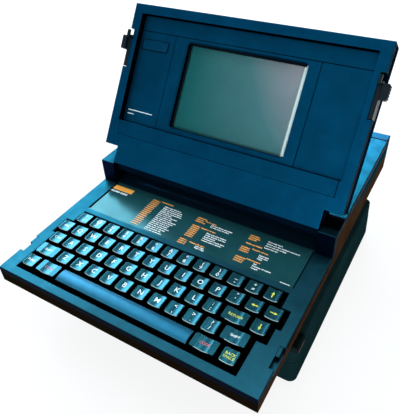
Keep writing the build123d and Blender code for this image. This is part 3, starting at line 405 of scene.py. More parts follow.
# ---- pieces ------------------------------------------------------------------------------------
def piece(name, shape, made, body):
    """A finished mesh as an object that rides on a body."""
    bmesh.ops.remove_doubles(shape, verts=shape.verts, dist=1e-7)
    bmesh.ops.recalc_face_normals(shape, faces=shape.faces)
    mesh = bpy.data.meshes.new(name)
    shape.to_mesh(mesh)
    shape.free()
    mesh.materials.append(made)
    made_piece = bpy.data.objects.new(name, mesh)
    bpy.context.scene.collection.objects.link(made_piece)
    if body:
        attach(made_piece, body)
    return made_piece


def letters(text, size, thickness, spacing=1.0, align="CENTER", weight=0.0):
    """The outlines of a text as a thin solid over the origin, from height 0 up."""
    curve = bpy.data.curves.new("letters", "FONT")
    curve.offset = weight
    curve.body = text
    curve.size = size
    curve.space_line = spacing
    curve.align_x = align
    curve.align_y = "CENTER" if align == "CENTER" else "TOP_BASELINE"
    curve.extrude = thickness / 2
    curve.resolution_u = 3
    holder = bpy.data.objects.new("letters", curve)
    mesh = bpy.data.meshes.new_from_object(holder)
    shape = bmesh.new()
    shape.from_mesh(mesh)
    bpy.data.objects.remove(holder)
    bpy.data.curves.remove(curve)
    bpy.data.meshes.remove(mesh)
    bmesh.ops.translate(shape, verts=shape.verts, vec=(0, 0, thickness / 2))
    return shape


def join(target, shape, matrix=None):
    """Adds one mesh to another."""
    if matrix:
        shape.transform(matrix)
    mesh = bpy.data.meshes.new("join")
    shape.to_mesh(mesh)
    shape.free()
    target.from_mesh(mesh)
    bpy.data.meshes.remove(mesh)


def slab(target, low, high, bevel=0.0, matrix=None):
    """A box between two corners, with rounded upright edges and a broken rim where a bevel is given."""
    shape = bmesh.new()
    bmesh.ops.create_cube(shape, size=1.0)
    size = [h - l for l, h in zip(low, high)]
    middle = [(h + l) / 2 for l, h in zip(low, high)]
    bmesh.ops.scale(shape, verts=shape.verts, vec=size)
    bmesh.ops.translate(shape, verts=shape.verts, vec=middle)
    if bevel:
        upright = [e for e in shape.edges if abs(e.verts[0].co.z - e.verts[1].co.z) > size[2] / 2]
        bmesh.ops.bevel(shape, geom=upright, offset=bevel, segments=4, profile=0.5, affect="EDGES")
        rim = [e for e in shape.edges if all(v.co.z > middle[2] for v in e.verts)]
        bmesh.ops.bevel(shape, geom=rim, offset=min(bevel / 2, size[2] / 3), segments=2, profile=0.5,
                        affect="EDGES")
    join(target, shape, matrix)


def plate(target, corners, low, high, bevel=0.0, matrix=None):
    """A slab between two corners in mm and two heights in metres."""
    first, last = corners
    slab(target, (first[0] * MM, first[1] * MM, low), (last[0] * MM, last[1] * MM, high), bevel, matrix)


def surface_of(node):
    """A search tree of a node's surface, to lay a print on it."""
    return BVHTree.FromObject(NODES[node], bpy.context.evaluated_depsgraph_get())


def lay_on(shape, tree, start, axis=2):
    """Moves each corner of a thin solid back along an axis onto the surface, and keeps its own height."""
    way = Vector((0, 0, 0))
    way[axis] = -1
    for corner in shape.verts:
        above = corner.co.copy()
        above[axis] = start
        hit = tree.ray_cast(above, way)[0]
        corner.co[axis] += hit[axis] if hit else 0.0


def lid_matrix():
    """From the lid's own frame (along the hinge, up the lid, out of its face) to the model's."""
    origin = HINGE + UP_LID * TONGUE + OFF_LID * LID_FACE
    rows = Matrix((Vector(RIGHT), UP_LID, OFF_LID)).transposed().to_4x4()
    return Matrix.Translation(origin * MM) @ rows


# ---- case, base unit and hardware ------------------------------------------------------------------
POST_STEP = (0.26, 0.34)  # shares of the post's length between which the painted shadow of the lid sets in on its top
POST_END = (0.85, 0.98)  # and between which that painted shadow gives way to the cover's paint again
SEAM_REACH = 10 * MM  # how far before and behind the seam its shading is laid out
SEAM_STOPS = ((0.40, 0.0), (0.42, 1.0), (0.53, 1.0), (0.55, 0.18))  # place and share of the shadow


def paint_lid_shadow_on_post(paint, case):
    """Paints the shadow of the lid on the top of the post at the right of the hinge, from its front end back.
    """
    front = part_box("rear_cover")[0].y
    behind = mapped(paint, along(paint, "Y"), front, front + case.post_shadow_length)
    post = ramp(paint, behind, ((POST_STEP[0], scaled(case.paint, 0.4)), (POST_STEP[1], case.shadow)))
    near = mapped(paint, behind, *POST_END, 1.0, 0.0)
    right = mapped(paint, along(paint, "X"), *POST_START)
    share = computed(paint, "MULTIPLY", near, right)
    share = computed(paint, "MULTIPLY", share, facing(paint, UP, *FLAT))
    overlay(paint, share, post)


def darken_seam(paint, case):
    """Darkens the seam between the rear cover and the rear panel, and a little the panel's top."""
    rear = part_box("rear_cover")[1].y
    across = mapped(paint, along(paint, "Y"), rear - SEAM_REACH, rear + SEAM_REACH)
    seam = ramp(paint, across, greys(*SEAM_STOPS))
    overlay(paint, computed(paint, "MULTIPLY", seam, facing(paint, UP, *FLAT)), case.shadow)


def pan_rim_band(pan, case):
    """A teal band along the top of the pan's right side, towards the rear, where the painted warm light of
    that side stops.
    """
    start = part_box("base_pan")[1].z - case.pan_rim_height
    upper = mapped(pan, along(pan, "Z"), start, start + 2 * MM)
    upper = computed(pan, "MULTIPLY", upper, mapped(pan, along(pan, "Y"), *PAN_RIM_START))
    share = computed(pan, "MULTIPLY", upper, facing(pan, RIGHT, *FLAT))
    overlay(pan, share, case.pan_rim)


class LUGGABLE_OT_case(Operator):
    """Paint the deck, the rear cover, the pan and the lid"""
    bl_idname = "luggable.case"
    bl_label = "Case"

    def execute(self, context):
        case = context.scene.luggable_case
        cover = case_coat("case_paint", case)
        paint_lid_shadow_on_post(cover, case)
        darken_seam(cover, case)
        dress(cover, "rear_cover", "rear_panel")
        deck = case_coat("deck_paint", case)
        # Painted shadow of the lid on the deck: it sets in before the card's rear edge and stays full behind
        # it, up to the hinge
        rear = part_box("overlay_card")[1].y
        overlay(deck, mapped(deck, along(deck, "Y"), rear - case.hinge_shadow_depth, rear), case.band)
        dress(deck, "keyboard_deck", "latch_keepers")
        dress(lid_coat("lid_paint", case.lid, case.paint_roughness, case), "lid_bezel")
        panel = lid_coat("panel_paint", case.panel, case.paint_roughness + PANEL_MATT, case)
        dress(panel, "lid_panel_top", "lid_panel_left", "lid_panel_right", "lid_lower_strip")
        # The pan's right side is lighter and browner as painted warm light; its other faces keep the pan's
        # dark paint
        pan = coated("pan_paint", case.pan_warm_lit_side, 0.6, grain=1300.0, relief=0.00006, mottle=0.3,
                     patches=35.0, side=case.pan, front=RIGHT, Specular_IOR_Level=0.0)
        pan_rim_band(pan, case)
        dress(pan, "base_pan")
        # The back shell takes the colour of the lid's painted shade, a little lighter, all over
        shell = coated("shell_paint", scaled(case.shadow, 1.5), 0.6, grain=1300.0, Specular_IOR_Level=0.0)
        dress(shell, "lid_back_shell")
        return {"FINISHED"}


class LUGGABLE_OT_base_unit(Operator):
    """Finish the battery base unit, its catches, the feet and the cells"""
    bl_idname = "luggable.base_unit"
    bl_label = "Base unit"

    def execute(self, context):
        dock = context.scene.luggable_case.dock
        moulded = coated("dock_plastic", dock, 0.55, grain=1100.0, relief=0.00008, mottle=0.25,
                         Specular_IOR_Level=0.0)
        dress(moulded, "dock_top", "dock_bottom")
        catch = coated("catch_plastic", scaled(dock, 0.25), 0.5, grain=1500.0, Specular_IOR_Level=0.03)
        dress(catch, "dock_catch_left", "dock_catch_right")
        rubber = coated("rubber", (0.012, 0.012, 0.013), 0.8, grain=900.0, relief=0.00008)
        dress(rubber, "dock_feet", "case_feet")
        jacket = coated("cell_jacket", (0.03, 0.10, 0.22), 0.35, grain=500.0)
        dress(jacket, "battery_cells")
        return {"FINISHED"}


# name, colour, roughness and other settings of each plain finish, and the nodes that have it
HARDWARE = (
    ("circuit_board", (0.012, 0.11, 0.04), 0.38, {"mottle": 0.4, "patches": 260.0, "grain": 2400.0},
     ("main_board", "modem_board", "keyboard_board", "charger_board", "driver_board")),
    ("steel", (0.42, 0.42, 0.44), 0.32, {"Metallic": 1.0, "mottle": 0.08, "grain": 2200.0},
     ("hinge_brackets", "hinge_pins")),
    ("black_steel", (0.014, 0.014, 0.016), 0.38, {"Metallic": 0.8, "grain": 2200.0},
     ("case_screws", "dock_screws", "lid_screws")),
    # black, which stands in for the shade in the key wells between the caps
    ("key_well_shade", (0.002, 0.002, 0.003), 0.6, {"grain": 2200.0, "Specular_IOR_Level": 0.05},
     ("key_plate",)),
    ("bronze", (0.50, 0.30, 0.12), 0.4, {"Metallic": 1.0}, ("hinge_bushes",)),
    ("module_can", (0.40, 0.40, 0.42), 0.4, {"Metallic": 0.9}, ("memory_module",)),
    ("supply_case", (0.20, 0.20, 0.20), 0.5, {"Metallic": 0.7}, ("power_supply",)),
    ("switch_plastic", (0.003, 0.003, 0.004), 0.45, {"Specular_IOR_Level": 0.2},
     ("key_switches", "power_switch_body", "power_switch")),
    ("connector", (0.020, 0.020, 0.022), 0.42, {}, ("rear_ports",)),
)


class LUGGABLE_OT_hardware(Operator):
    """Finish hinges, screws, boards, supply and what else lies inside"""
    bl_idname = "luggable.hardware"
    bl_label = "Hardware"

    def execute(self, context):
        for name, colour, roughness, settings, nodes in HARDWARE:
            dress(coated(name, colour, roughness, **settings), *nodes)
        return {"FINISHED"}


class LUGGABLE_OT_latches(Operator):
    """Finish the two sliding latches"""
    bl_idname = "luggable.latches"
    bl_label = "Latches"

    def execute(self, context):
        metal = coated("latch_metal", (0.002, 0.008, 0.012), 0.4, grain=1800.0, Specular_IOR_Level=0.15)
        dress(metal, "latch_left", "latch_right")
        return {"FINISHED"}


# ---- screen --------------------------------------------------------------------------------------
# corners of the strips of painted shade on the window's glass in mm, along the hinge and up the lid: left,
# top, bottom and a line over it
WINDOW_SHADE_STRIPS = (
    ((-70.2, 37.4), (-67.4, 133.8)),
    ((-67.4, 131.6), (69.3, 133.8)),
    ((-67.4, 37.4), (69.3, 38.3)),
    ((-67.4, 39.3), (66.5, 39.7)),
)


def surround_coat(case, screen):
    """Paint of the window's surround, with a painted highlight on its right bevel and a painted reflection of
    the display on its sill.
    """
    paint = lid_coat("surround", case.panel, case.paint_roughness + PANEL_MATT, case)
    inner_left = (OFF_LID + Vector((-1, 0, 0))).normalized()
    right = mapped(paint, along(paint, "X"), *BEVEL_START)
    bevel = computed(paint, "MULTIPLY", facing(paint, inner_left, *BEVEL), right)
    # Painted highlight on the right bevel
    overlay(paint, bevel, screen.bevel)
    # Painted reflection of the display on the sill
    overlay(paint, facing(paint, UP_LID, *SILL), screen.sill)
    return paint


def display_painted_reflection(screen):
    """The unlit display with a painted reflection, which grows paler to the right, and more so towards the
    top.
    """
    display = material("display", Roughness=0.45, Specular_IOR_Level=0.1)
    low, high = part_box("display_panel")
    across = mapped(display, along(display, "X"), low.x, high.x)
    height = mapped(display, along(display, "Z"), low.z, high.z)
    slope = computed(display, "MULTIPLY_ADD", across, height, across)
    slope = computed(display, "MULTIPLY", slope, 0.5)
    tone = ramp(display, slope, ((0.1, screen.left), (0.5, screen.middle), (0.9, screen.right)))
    dim = clouded(display, noise(display, 40.0, 5.0), (0.92,) * 3, (1.0,) * 3)
    connect(display, mix(display, 1.0, tone, dim, "MULTIPLY"), "Base Color")
    return display


def glass_coat(screen):
    """The window, nearly clear but for a strip at its right end with a painted highlight."""
    glass = material("screen_glass", Roughness=0.12)
    tint = clouded(glass, noise(glass, 12.0), screen.glass, scaled(screen.glass, 0.9))
    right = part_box("screen_glass")[1].x - GLASS_RIM
    edge = mapped(glass, along(glass, "X"), right - screen.edge, right - screen.edge * 0.5)
    # Painted highlight on the strip at the right of the glass
    connect(glass, mix(glass, edge, tint, screen.bevel), "Base Color")
    connect(glass, mapped(glass, edge, 0.0, 1.0, 0.06, 0.85), "Alpha")
    return glass


class LUGGABLE_OT_screen(Operator):
    """Finish the display, its surround and the window, and lay strips of painted shade on the window"""
    bl_idname = "luggable.screen"
    bl_label = "Screen"

    def execute(self, context):
        screen = context.scene.luggable_screen
        dress(surround_coat(context.scene.luggable_case, screen), "screen_surround")
        dress(display_painted_reflection(screen), "display_panel")
        dress(glass_coat(screen), "screen_glass")
        # Dark strips of painted shade on the glass along the walls of the window
        window_shade = bmesh.new()
        matrix = lid_matrix()
        for corners in WINDOW_SHADE_STRIPS:
            plate(window_shade, corners, GLASS_FRONT, GLASS_FRONT + 0.2 * MM, 0.0, matrix)
        black = coated("window_shade", (0.002, 0.005, 0.008), 0.6, grain=1500.0, Specular_IOR_Level=0.05)
        piece("window_shade_strips", window_shade, black, "lid")
        return {"FINISHED"}


# ---- rear contacts -------------------------------------------------------------------------------
EDGE_CONTACTS = ((-34.0, 6.0, 13), (28.0, 78.0, 18))  # first and last in mm, and number in a row
EDGE_ROWS = (-1.9 * MM, 1.9 * MM)  # heights of the two rows in a connector
JACK_CONTACTS = (-88.5, -83.5, -80.5, -75.5, -70.5, -65.5, -62.5, -57.5)  # in mm, four in each jack
INLET_PINS = ((-112.0, 0.0), (-107.0, 1.5), (-102.0, 0.0))  # place and height of each pin, in mm
SWITCH_MARKS = (("I", 0.24), ("O", 0.76))  # sign, and its place as a share of the rocker's width
# the rear faces +Y, so a text there runs against X and stands up along Z
ON_REAR = Matrix(((-1, 0, 0, 0), (0, 0, 1, 0), (0, 1, 0, 0), (0, 0, 0, 1)))


def contact(target, x, half_width, low, high, bevel=0.0):
    """A contact about a place x in mm, between two corners that are (y, z) pairs in metres."""
    slab(target, ((x - half_width) * MM, *low), ((x + half_width) * MM, *high), bevel)


class LUGGABLE_OT_contacts(Operator):
    """Add the contacts of the rear connectors and the marks of the power switch"""
    bl_idname = "luggable.contacts"
    bl_label = "Rear contacts"

    def execute(self, context):
        low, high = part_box("rear_ports")
        back = high.y
        level = (low.z + high.z) / 2
        brass = bmesh.new()
        for first, last, count in EDGE_CONTACTS:
            for number in range(count):
                x = first + (last - first) * number / (count - 1)
                for row in EDGE_ROWS:
                    contact(brass, x, 0.5, (back - 0.2 * MM, level + row - 1.1 * MM),
                            (back + 0.15 * MM, level + row + 1.1 * MM))
        for x in JACK_CONTACTS:
            contact(brass, x, 0.4, (back - 14.8 * MM, level - 4.8 * MM), (back - 4.5 * MM, level - 4.0 * MM))
        gold = coated("contact_brass", (0.62, 0.40, 0.12), 0.3, Metallic=1.0, mottle=0.1, grain=2400.0)
        piece("port_contacts", brass, gold, BODY_OF["rear_ports"])
        pins = bmesh.new()
        for x, height in INLET_PINS:
            contact(pins, x, 1.0, (back - 16.8 * MM, level + (height - 2.0) * MM),
                    (back - 6.0 * MM, level + (height + 2.0) * MM), 0.4 * MM)
        plated = coated("contact_steel", (0.50, 0.50, 0.50), 0.3, Metallic=1.0, mottle=0.08, grain=2400.0)
        piece("inlet_pins", pins, plated, BODY_OF["rear_ports"])

        low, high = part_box("power_switch")
        level = (low.z + high.z) / 2
        marks = bmesh.new()
        for text, share in SWITCH_MARKS:
            spot = Matrix.Translation((low.x + (high.x - low.x) * share, -0.1 * MM, level))
            join(marks, letters(text, 4.5 * MM, 0.2 * MM, weight=0.1 * MM), spot @ ON_REAR)
        lay_on(marks, surface_of("power_switch"), high.y + 10 * MM, 1)
        ink = coated("ink_switch", (0.70, 0.72, 0.70), 0.5, mottle=0.05, patches=300.0)
        piece("switch_marks", marks, ink, BODY_OF["power_switch"])
        return {"FINISHED"}


# ---- keys ----------------------------------------------------------------------------------------
# what is printed on each cap of a key node, from its first cap on
LEGENDS = {
    "keys_number_row": ["!\n1", "@\n2", "#\n3", "$\n4", "%\n5", "^\n6", "&\n7", "*\n8", "(\n9", ")\n0",
                        "_\n-", "+\n="],
    "keys_upper_letters": list("QWERTYUIOP") + ["\"\n'"],
    "keys_home_letters": list("ASDFGHJKL") + [":\n;"],
    "keys_lower_letters": list("ZXCVBNM") + ["<\n,", ">\n.", "?\n/"],
    "key_escape": ["ESC"],
    "key_control": ["CTRL"],
    "key_return": ["RETURN"],
    "key_shift_left": ["SHIFT"],
    "key_shift_right": ["SHIFT"],
    "key_function": ["FUNC"],
    "key_code_left": ["CODE"],
    "key_code_right": ["CODE"],
    "key_backspace": ["BACK\nSPACE"],
}
ARROWS = {"key_up": 90.0, "key_left": 180.0, "key_right": 0.0, "key_down": -90.0}  # degrees from +X
INKS = {"key_return": "yellow", "key_backspace": "yellow", "key_code_left": "red", "key_code_right": "red"}
INKS.update(dict.fromkeys(ARROWS, "yellow"))


class LUGGABLE_OT_keys(Operator):
    """Finish the key caps and the space bar"""
    bl_idname = "luggable.keys"
    bl_label = "Key caps"

    def execute(self, context):
        keys = context.scene.luggable_keys
        for name, top, rim, roughness, nodes in (
                ("key_plastic", keys.top, keys.rim, keys.cap_roughness, (*LEGENDS, *ARROWS)),
                ("bar_plastic", keys.bar, keys.bar_rim_highlight, keys.bar_roughness, ("key_space",))):
            cap = material(name, Metallic=0.9, Specular_IOR_Level=0.15)
            tone = clouded(cap, noise(cap, 90.0, 3.0), scaled(top, 0.92), scaled(top, 1.08))
            # Painted highlight on the rim round each top
            tone = mix(cap, facing(cap, UP, *CAP_TOP), rim, tone)
            # Painted shade on the sides of the caps
            connect(cap, mix(cap, facing(cap, UP, *CAP_SIDE), keys.side, tone), "Base Color")
            gloss = mapped(cap, noise(cap, 160.0, 4.0), *NOISE, roughness - 0.02, roughness + 0.02)
            connect(cap, gloss, "Roughness")
            grained(cap, 1500.0, 0.000004)
            dress(cap, *nodes)
        return {"FINISHED"}


def cap_centres(node):
    """Middle of the top of each cap of a key node, from left to right."""
    low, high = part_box(node)
    count = len(LEGENDS[node]) if node in LEGENDS else 1
    width = (high.x - low.x + CAP_GAP) / count
    start = low.x - CAP_GAP / 2
    return [Vector((start + (number + 0.5) * width, (low.y + high.y) / 2, high.z)) for number in range(count)]


def arrow(reach, thickness):
    """A printed arrow that points along X, as a thin solid."""
    neck = reach * 0.1
    half = reach * 0.15
    wing = half * 2.9
    outline = [(-reach, -half), (neck, -half), (neck, -wing), (reach, 0), (neck, wing), (neck, half),
               (-reach, half)]
    shape = bmesh.new()
    face = shape.faces.new([shape.verts.new((x, y, 0)) for x, y in outline])
    raised = bmesh.ops.extrude_face_region(shape, geom=[face])["geom"]
    corners = [v for v in raised if isinstance(v, bmesh.types.BMVert)]
    bmesh.ops.translate(shape, verts=corners, vec=(0, 0, thickness))
    return shape


def legend(text, keys):
    """A sign, a pair of signs or a word for a key cap, as a thin solid."""
    size = keys.word
    spacing = 1.0
    if len(text) == 1:
        size = keys.letter
    elif len(text) == 3 and "\n" in text:
        size = keys.pair
        spacing = 0.95
    return letters(text, size, keys.thickness * 2, spacing, weight=keys.weight)


class LUGGABLE_OT_legends(Operator):
    """Print the legends on the key caps"""
    bl_idname = "luggable.legends"
    bl_label = "Key legends"

    def execute(self, context):
        keys = context.scene.luggable_keys
        inks = {name: coated(f"ink_{name}", colour, 0.5, mottle=0.06, patches=300.0)
                for name, colour in (("white", keys.white), ("yellow", keys.yellow), ("red", keys.red))}
        for node in (*LEGENDS, *ARROWS):
            shape = bmesh.new()
            for number, centre in enumerate(cap_centres(node)):
                move = Matrix.Translation((centre.x, centre.y, -keys.thickness))
                if node in ARROWS:
                    turn = Matrix.Rotation(math.radians(ARROWS[node]), 4, "Z")
                    join(shape, arrow(keys.arrow, keys.thickness * 2), move @ turn)
                else:
                    join(shape, legend(LEGENDS[node][number], keys), move)
            lay_on(shape, surface_of(node), ABOVE_KEYS)
            piece(f"legend_{node}", shape, inks[INKS.get(node, "white")], BODY_OF[node])
        return {"FINISHED"}


# ---- card ----------------------------------------------------------------------------------------
# colour, x of the left end, y of the first line, pitch (all in mm) and lines of each block on the card
CARD_BLOCKS = [
    ("orange", -68.0, -26.4, 3.15, ["CODE-A", "CODE-B", "CODE-C", "CODE-D", "CODE-E", "CODE-F", "CODE-G",
                                    "CODE-H", "CODE-I", "CODE-K", "CODE-L", "CODE-M", "CODE-N", "CODE-O",
                                    "CODE-P"]),
    ("orange", -56.0, -25.4, 3.15, ["COMMANDS"]),
    ("white", -48.6, -30.6, 2.95, ["Add a new line here", "Begin a block of words",
                                   "Copy the marked block", "Delete the marked block", "End of the text",
                                   "Find a word in the text", "Go to another line",
                                   "Help with the commands", "Insert the copied block",
                                   "Keep the text as it is", "Leave this command", "Move the marked block",
                                   "Next item on the list", "Open another file", "Print the whole text"]),
    ("orange", -5.0, -28.6, 3.0, ["ARROWS", "with the", "CODE key"]),
    ("orange", 6.0, -30.8, 3.0, ["To the start"]),
    ("orange", -4.0, -42.2, 2.9, ["CODE-1", "CODE-2", "CODE-3", "CODE-4", "CODE-5", "CODE-6", "CODE-7"]),
    ("orange", 7.3, -42.2, 3.0, ["Number of type"]),
    ("orange", -5.0, -66.4, 2.9, ["SHIFT-1", "SHIFT-2", "SHIFT-3"]),
    ("orange", 7.0, -66.6, 3.0, ["Change the type"]),
    ("white", 14.8, -33.4, 2.9, ["Up and down one page", "To the ends of a line"]),
    ("white", 16.5, -46.8, 2.9, ["Plain and even letters", "Wide letters, one line", "Small letters",
                                 "Underlined words here", "Letters drawn darker"]),
    ("white", 15.7, -69.2, 2.4, ["Left edge", "Right edge"]),
    ("orange", 59.5, -27.0, 2.9, ["RETURN", "CONFIRM", "ESCAPE"]),
    ("orange", 60.0, -39.6, 3.0, ["FILES and DISKS"]),
    ("orange", 58.0, -46.4, 2.9, ["CODE-S", "CODE-T", "CODE-U"]),
    ("orange", 70.0, -45.2, 3.0, ["Transfer of text"]),
    ("orange", 59.0, -61.4, 2.9, ["CODE-W", "CODE-X", "CODE-Z"]),
    ("orange", 71.0, -60.2, 3.0, ["Printed pages"]),
    ("white", 80.0, -27.6, 3.3, ["One step back", "Carry out the marked command",
                                 "Go to the list of files", "Leave the list"]),
    ("white", 80.0, -50.0, 2.7, ["Send text", "Take text", "Wait"]),
    ("white", 80.0, -63.4, 2.9, ["Set", "Number of copies", "Length"]),
]
CARD_TITLE = (-129.5, -34.6)  # left end of the title, in mm
CARD_BAR = (-129.5, -30.0)  # lower left corner of the orange bar, in mm
CARD_LINE = ((112.5, -72.3), (122.6, -71.7))  # the short white line at the lower right, in mm


class LUGGABLE_OT_card(Operator):
    """Finish the card and print its headings and lines"""
    bl_idname = "luggable.card"
    bl_label = "Card"

    def execute(self, context):
        card = context.scene.luggable_card
        ground = coated("card", card.ground, 0.2, grain=1200.0, relief=0.00001, mottle=0.15, Metallic=0.5,
                        Specular_IOR_Level=0.1)
        dress(ground, "overlay_card")
        inks = {name: coated(f"print_{name}", colour, 0.5, mottle=0.06, patches=300.0)
                for name, colour in (("orange", card.orange), ("white", card.white))}
        weights = {"orange": card.orange_weight, "white": card.white_weight}
        low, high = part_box("overlay_card")
        top = high.z
        shapes = {name: bmesh.new() for name in inks}
        wide = Matrix.Diagonal((card.stretch, 1.0, 1.0, 1.0))
        for colour, x, y, pitch, lines in CARD_BLOCKS:
            text = letters("\n".join(lines), card.type_size, PRINT_THICKNESS, pitch * MM / card.type_size,
                           "LEFT", weights[colour])
            join(shapes[colour], text, Matrix.Translation((x * MM, y * MM, top)) @ wide)
        title = letters("KEYBOARD GUIDE", card.title_size, PRINT_THICKNESS, 1.0, "LEFT", card.orange_weight)
        join(shapes["white"], title, Matrix.Translation((CARD_TITLE[0] * MM, CARD_TITLE[1] * MM, top)))
        corner = Vector((CARD_BAR[0] * MM, CARD_BAR[1] * MM, top))
        slab(shapes["orange"], corner,
             corner + Vector((card.bar_length, card.bar_height, PRINT_THICKNESS)), 1 * MM)
        plate(shapes["white"], CARD_LINE, top, top + PRINT_THICKNESS)
        # Dark lines of painted shade at both ends of the card, for the shaded walls of its recess
        shade_lines = bmesh.new()
        for start, end in ((low.x - 0.2 * MM, low.x + card.gap_shade_width), (high.x - card.gap_shade_width / 2, high.x)):
            slab(shade_lines, (start, low.y + MM, top), (end, high.y - MM, top + PRINT_THICKNESS))
        black = coated("card_gap_shade", card.gap, 0.8, Specular_IOR_Level=0.0)
        piece("card_shade_lines", shade_lines, black, BODY_OF["overlay_card"])
        for colour, shape in shapes.items():
            piece(f"card_print_{colour}", shape, inks[colour], BODY_OF["overlay_card"])
        return {"FINISHED"}


# ---- lid -----------------------------------------------------------------------------------------
BADGE = ((-130.5, 116.6), (-94.0, 129.6))  # corners in mm, along the hinge and up the lid
BADGE_CORNER = 2.8  # mm
# name, share of the panel's colour, mm in from the badge's edge and mm above the recess; the darker outer
# plate is a ring of painted shade round the badge
BADGE_PLATES = (("badge_shade_ring", 0.35, 0.0, 0.5), ("badge_plate", 1.1, 1.2, 1.0))
LID_LINES = (((-129.6, 45.0), (-95.3, 46.1)), ((-129.6, 40.6), (-121.0, 41.7)))  # corners as above


class LUGGABLE_OT_lid_marks(Operator):
    """Add the blank badge plate and two plain lines to the lid"""
    bl_idname = "luggable.lid_marks"
    bl_label = "Lid badge and lines"

    def execute(self, context):
        case = context.scene.luggable_case
        matrix = lid_matrix()
        first, last = BADGE
        for name, share, inset, height in BADGE_PLATES:
            badge = bmesh.new()
            corners = ((first[0] + inset, first[1] + inset), (last[0] - inset, last[1] - inset))
            plate(badge, corners, LID_RECESS - 0.2 * MM, LID_RECESS + height * MM,
                  (BADGE_CORNER - inset) * MM, matrix)
            made = coated(name, scaled(case.panel, share), 0.36, side=case.shadow, front=OFF_LID,
                          Metallic=0.9, Specular_IOR_Level=0.05, grain=1500.0)
            piece(name, badge, made, "lid")
        lines = bmesh.new()
        for corners in LID_LINES:
            plate(lines, corners, LID_RECESS, LID_RECESS + 0.1 * MM, 0.0, matrix)
        ink = coated("ink_lid", (0.55, 0.68, 0.70), 0.5, mottle=0.05)
        piece("lid_lines", lines, ink, "lid")
        return {"FINISHED"}


# ---- stage ---------------------------------------------------------------------------------------
FLOOR_WHITE = 0.86  # share of plain white in what the camera sees of the floor, whose rest shows the shadow
HORIZON = (0.34, 0.54)  # the sky is plain white below the first height and banded above the second


def add_floor(stage):
    """A plain floor that is nearly white to the camera and keeps the object's shadow."""
    floor = material("floor", Roughness=0.9, Specular_IOR_Level=0.1)
    tone = clouded(floor, noise(floor, 1.5), scaled(stage.floor, 0.99), scaled(stage.floor, 1.01))
    connect(floor, tone, "Base Color")
    path = add_node(floor, "LightPath")
    seen = path.outputs["Is Camera Ray"]
    for name in ("Is Glossy Ray", "Is Transmission Ray"):
        seen = computed(floor, "MAXIMUM", seen, path.outputs[name])
    share = computed(floor, "MULTIPLY", seen, FLOOR_WHITE)
    white = add_node(floor, "Emission", {"Color": (1.0, 1.0, 1.0, 1.0), "Strength": 1.0})
    both = add_node(floor, "MixShader", {0: share, 1: shader_of(floor).outputs[0], 2: white.outputs[0]})
    floor.node_tree.links.new(both.outputs[0], floor.node_tree.nodes["Material Output"].inputs[0])
    mesh = bmesh.new()
    bmesh.ops.create_grid(mesh, x_segments=1, y_segments=1, size=stage.floor_size / 2)
    made = piece("floor", mesh, floor, None)
    made.location.z = cad_box[0][2]


def add_sky(scene, stage):
    """Even light from all around, dimmer beside the window and plain white near the horizon and below."""
    world = bpy.data.worlds.new("studio")
    scene.world = world
    world.use_nodes = True
    way = add_node(world, "TexCoord").outputs["Generated"]
    turned = add_node(world, "VectorMath", {0: way, 1: WINDOW_SIDE}, operation="DOT_PRODUCT")
    bands = ramp(world, turned.outputs["Value"], greys((0.42, 1.0), (0.62, stage.flag), (0.84, stage.flag),
                                                       (0.94, 1.0), (1.0, 1.2)))
    height = add_node(world, "SeparateXYZ", {"Vector": way}).outputs["Z"]
    colour = mix(world, mapped(world, height, *HORIZON), (1.0, 1.0, 1.0), bands)
    background = world.node_tree.nodes["Background"]
    world.node_tree.links.new(colour, background.inputs["Color"])
    background.inputs["Strength"].default_value = stage.sky


def add_lamps(scene, stage):
    """The window, a lamp behind the lid, one in front of it and one overhead."""
    # name, direction from the object, distance, width, power and colour
    lamps = (
        ("window_lamp", (-0.82, 0.36, 0.52), 1.5, stage.window_size, stage.window_power, stage.window_light),
        ("rear_lamp", (-0.16, 0.90, 0.39), 1.5, 0.6, stage.rear_power, stage.daylight),
        ("front_lamp", (0.35, -0.9, 0.34), 1.8, 1.1, stage.front_power, stage.daylight),
        ("top_lamp", (-0.15, 0.12, 0.98), 1.8, 1.1, stage.fill_power, stage.daylight),
    )
    for name, side, distance, width, watts, colour in lamps:
        lamp = bpy.data.lights.new(name, "AREA")
        lamp.shape = "RECTANGLE"
        lamp.size = width
        lamp.size_y = width * 0.8
        lamp.energy = watts
        lamp.color = colour
        held = bpy.data.objects.new(name, lamp)
        side = Vector(side).normalized()
        held.location = STAGE_MIDDLE + side * distance
        held.rotation_euler = side.to_track_quat("Z", "Y").to_euler()
        scene.collection.objects.link(held)


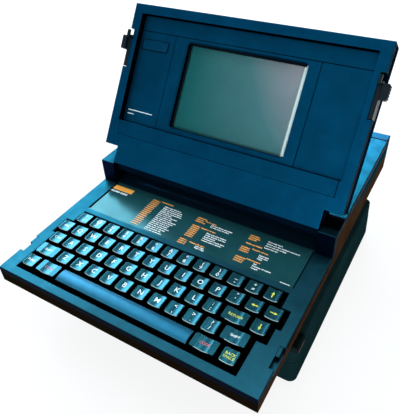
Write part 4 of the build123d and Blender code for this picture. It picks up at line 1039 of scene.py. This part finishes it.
def add_camera(scene, stage):
    """The camera, in front of the machine, above it and to its right."""
    camera = bpy.data.cameras.new("camera")
    camera.lens = stage.lens
    camera.sensor_fit = "HORIZONTAL"
    camera.sensor_width = 36.0
    camera.clip_start = 0.01
    camera.clip_end = 50.0
    camera.shift_x, camera.shift_y = CAMERA_SHIFT
    held = bpy.data.objects.new("camera", camera)
    held.location = CAMERA_PLACE
    held.rotation_euler = [math.radians(angle) for angle in CAMERA_TURN]
    scene.collection.objects.link(held)
    scene.camera = held


class LUGGABLE_OT_stage(Operator):
    """Set up the floor, the sky, the lamps and the camera"""
    bl_idname = "luggable.stage"
    bl_label = "Stage"

    def execute(self, context):
        scene = context.scene
        stage = scene.luggable_stage
        add_floor(stage)
        add_sky(scene, stage)
        add_lamps(scene, stage)
        add_camera(scene, stage)
        scene.view_settings.view_transform = "Standard"
        return {"FINISHED"}


# ---- add-on --------------------------------------------------------------------------------------
class LUGGABLE_PT_panel(Panel):
    """Steps and settings of the luggable computer's looks"""
    bl_idname = "LUGGABLE_PT_panel"
    bl_label = "Luggable computer"
    bl_space_type = "VIEW_3D"
    bl_region_type = "UI"
    bl_category = "Luggable"

    def draw(self, context):
        for step in STEPS:
            self.layout.operator(step.bl_idname)
        for name, group in GROUPS.items():
            box = self.layout.box()
            box.label(text=group.__doc__)
            for setting in group.__annotations__:
                box.prop(getattr(context.scene, name), setting)


STEPS = (LUGGABLE_OT_case, LUGGABLE_OT_base_unit, LUGGABLE_OT_hardware, LUGGABLE_OT_latches,
         LUGGABLE_OT_screen, LUGGABLE_OT_contacts, LUGGABLE_OT_keys, LUGGABLE_OT_legends, LUGGABLE_OT_card,
         LUGGABLE_OT_lid_marks, LUGGABLE_OT_stage)


def register():
    """Registers the settings, the operators and the panel."""
    for made in (*GROUPS.values(), *STEPS, LUGGABLE_PT_panel):
        bpy.utils.register_class(made)
    for name, group in GROUPS.items():
        setattr(bpy.types.Scene, name, PointerProperty(type=group))


def unregister():
    """Takes them away again."""
    for name in GROUPS:
        delattr(bpy.types.Scene, name)
    for made in reversed((*GROUPS.values(), *STEPS, LUGGABLE_PT_panel)):
        bpy.utils.unregister_class(made)


def main():
    """Registers everything and runs the steps in order."""
    register()
    for step in STEPS:
        group, name = step.bl_idname.split(".")
        getattr(getattr(bpy.ops, group), name)()


if __name__ == "__main__":
    main()
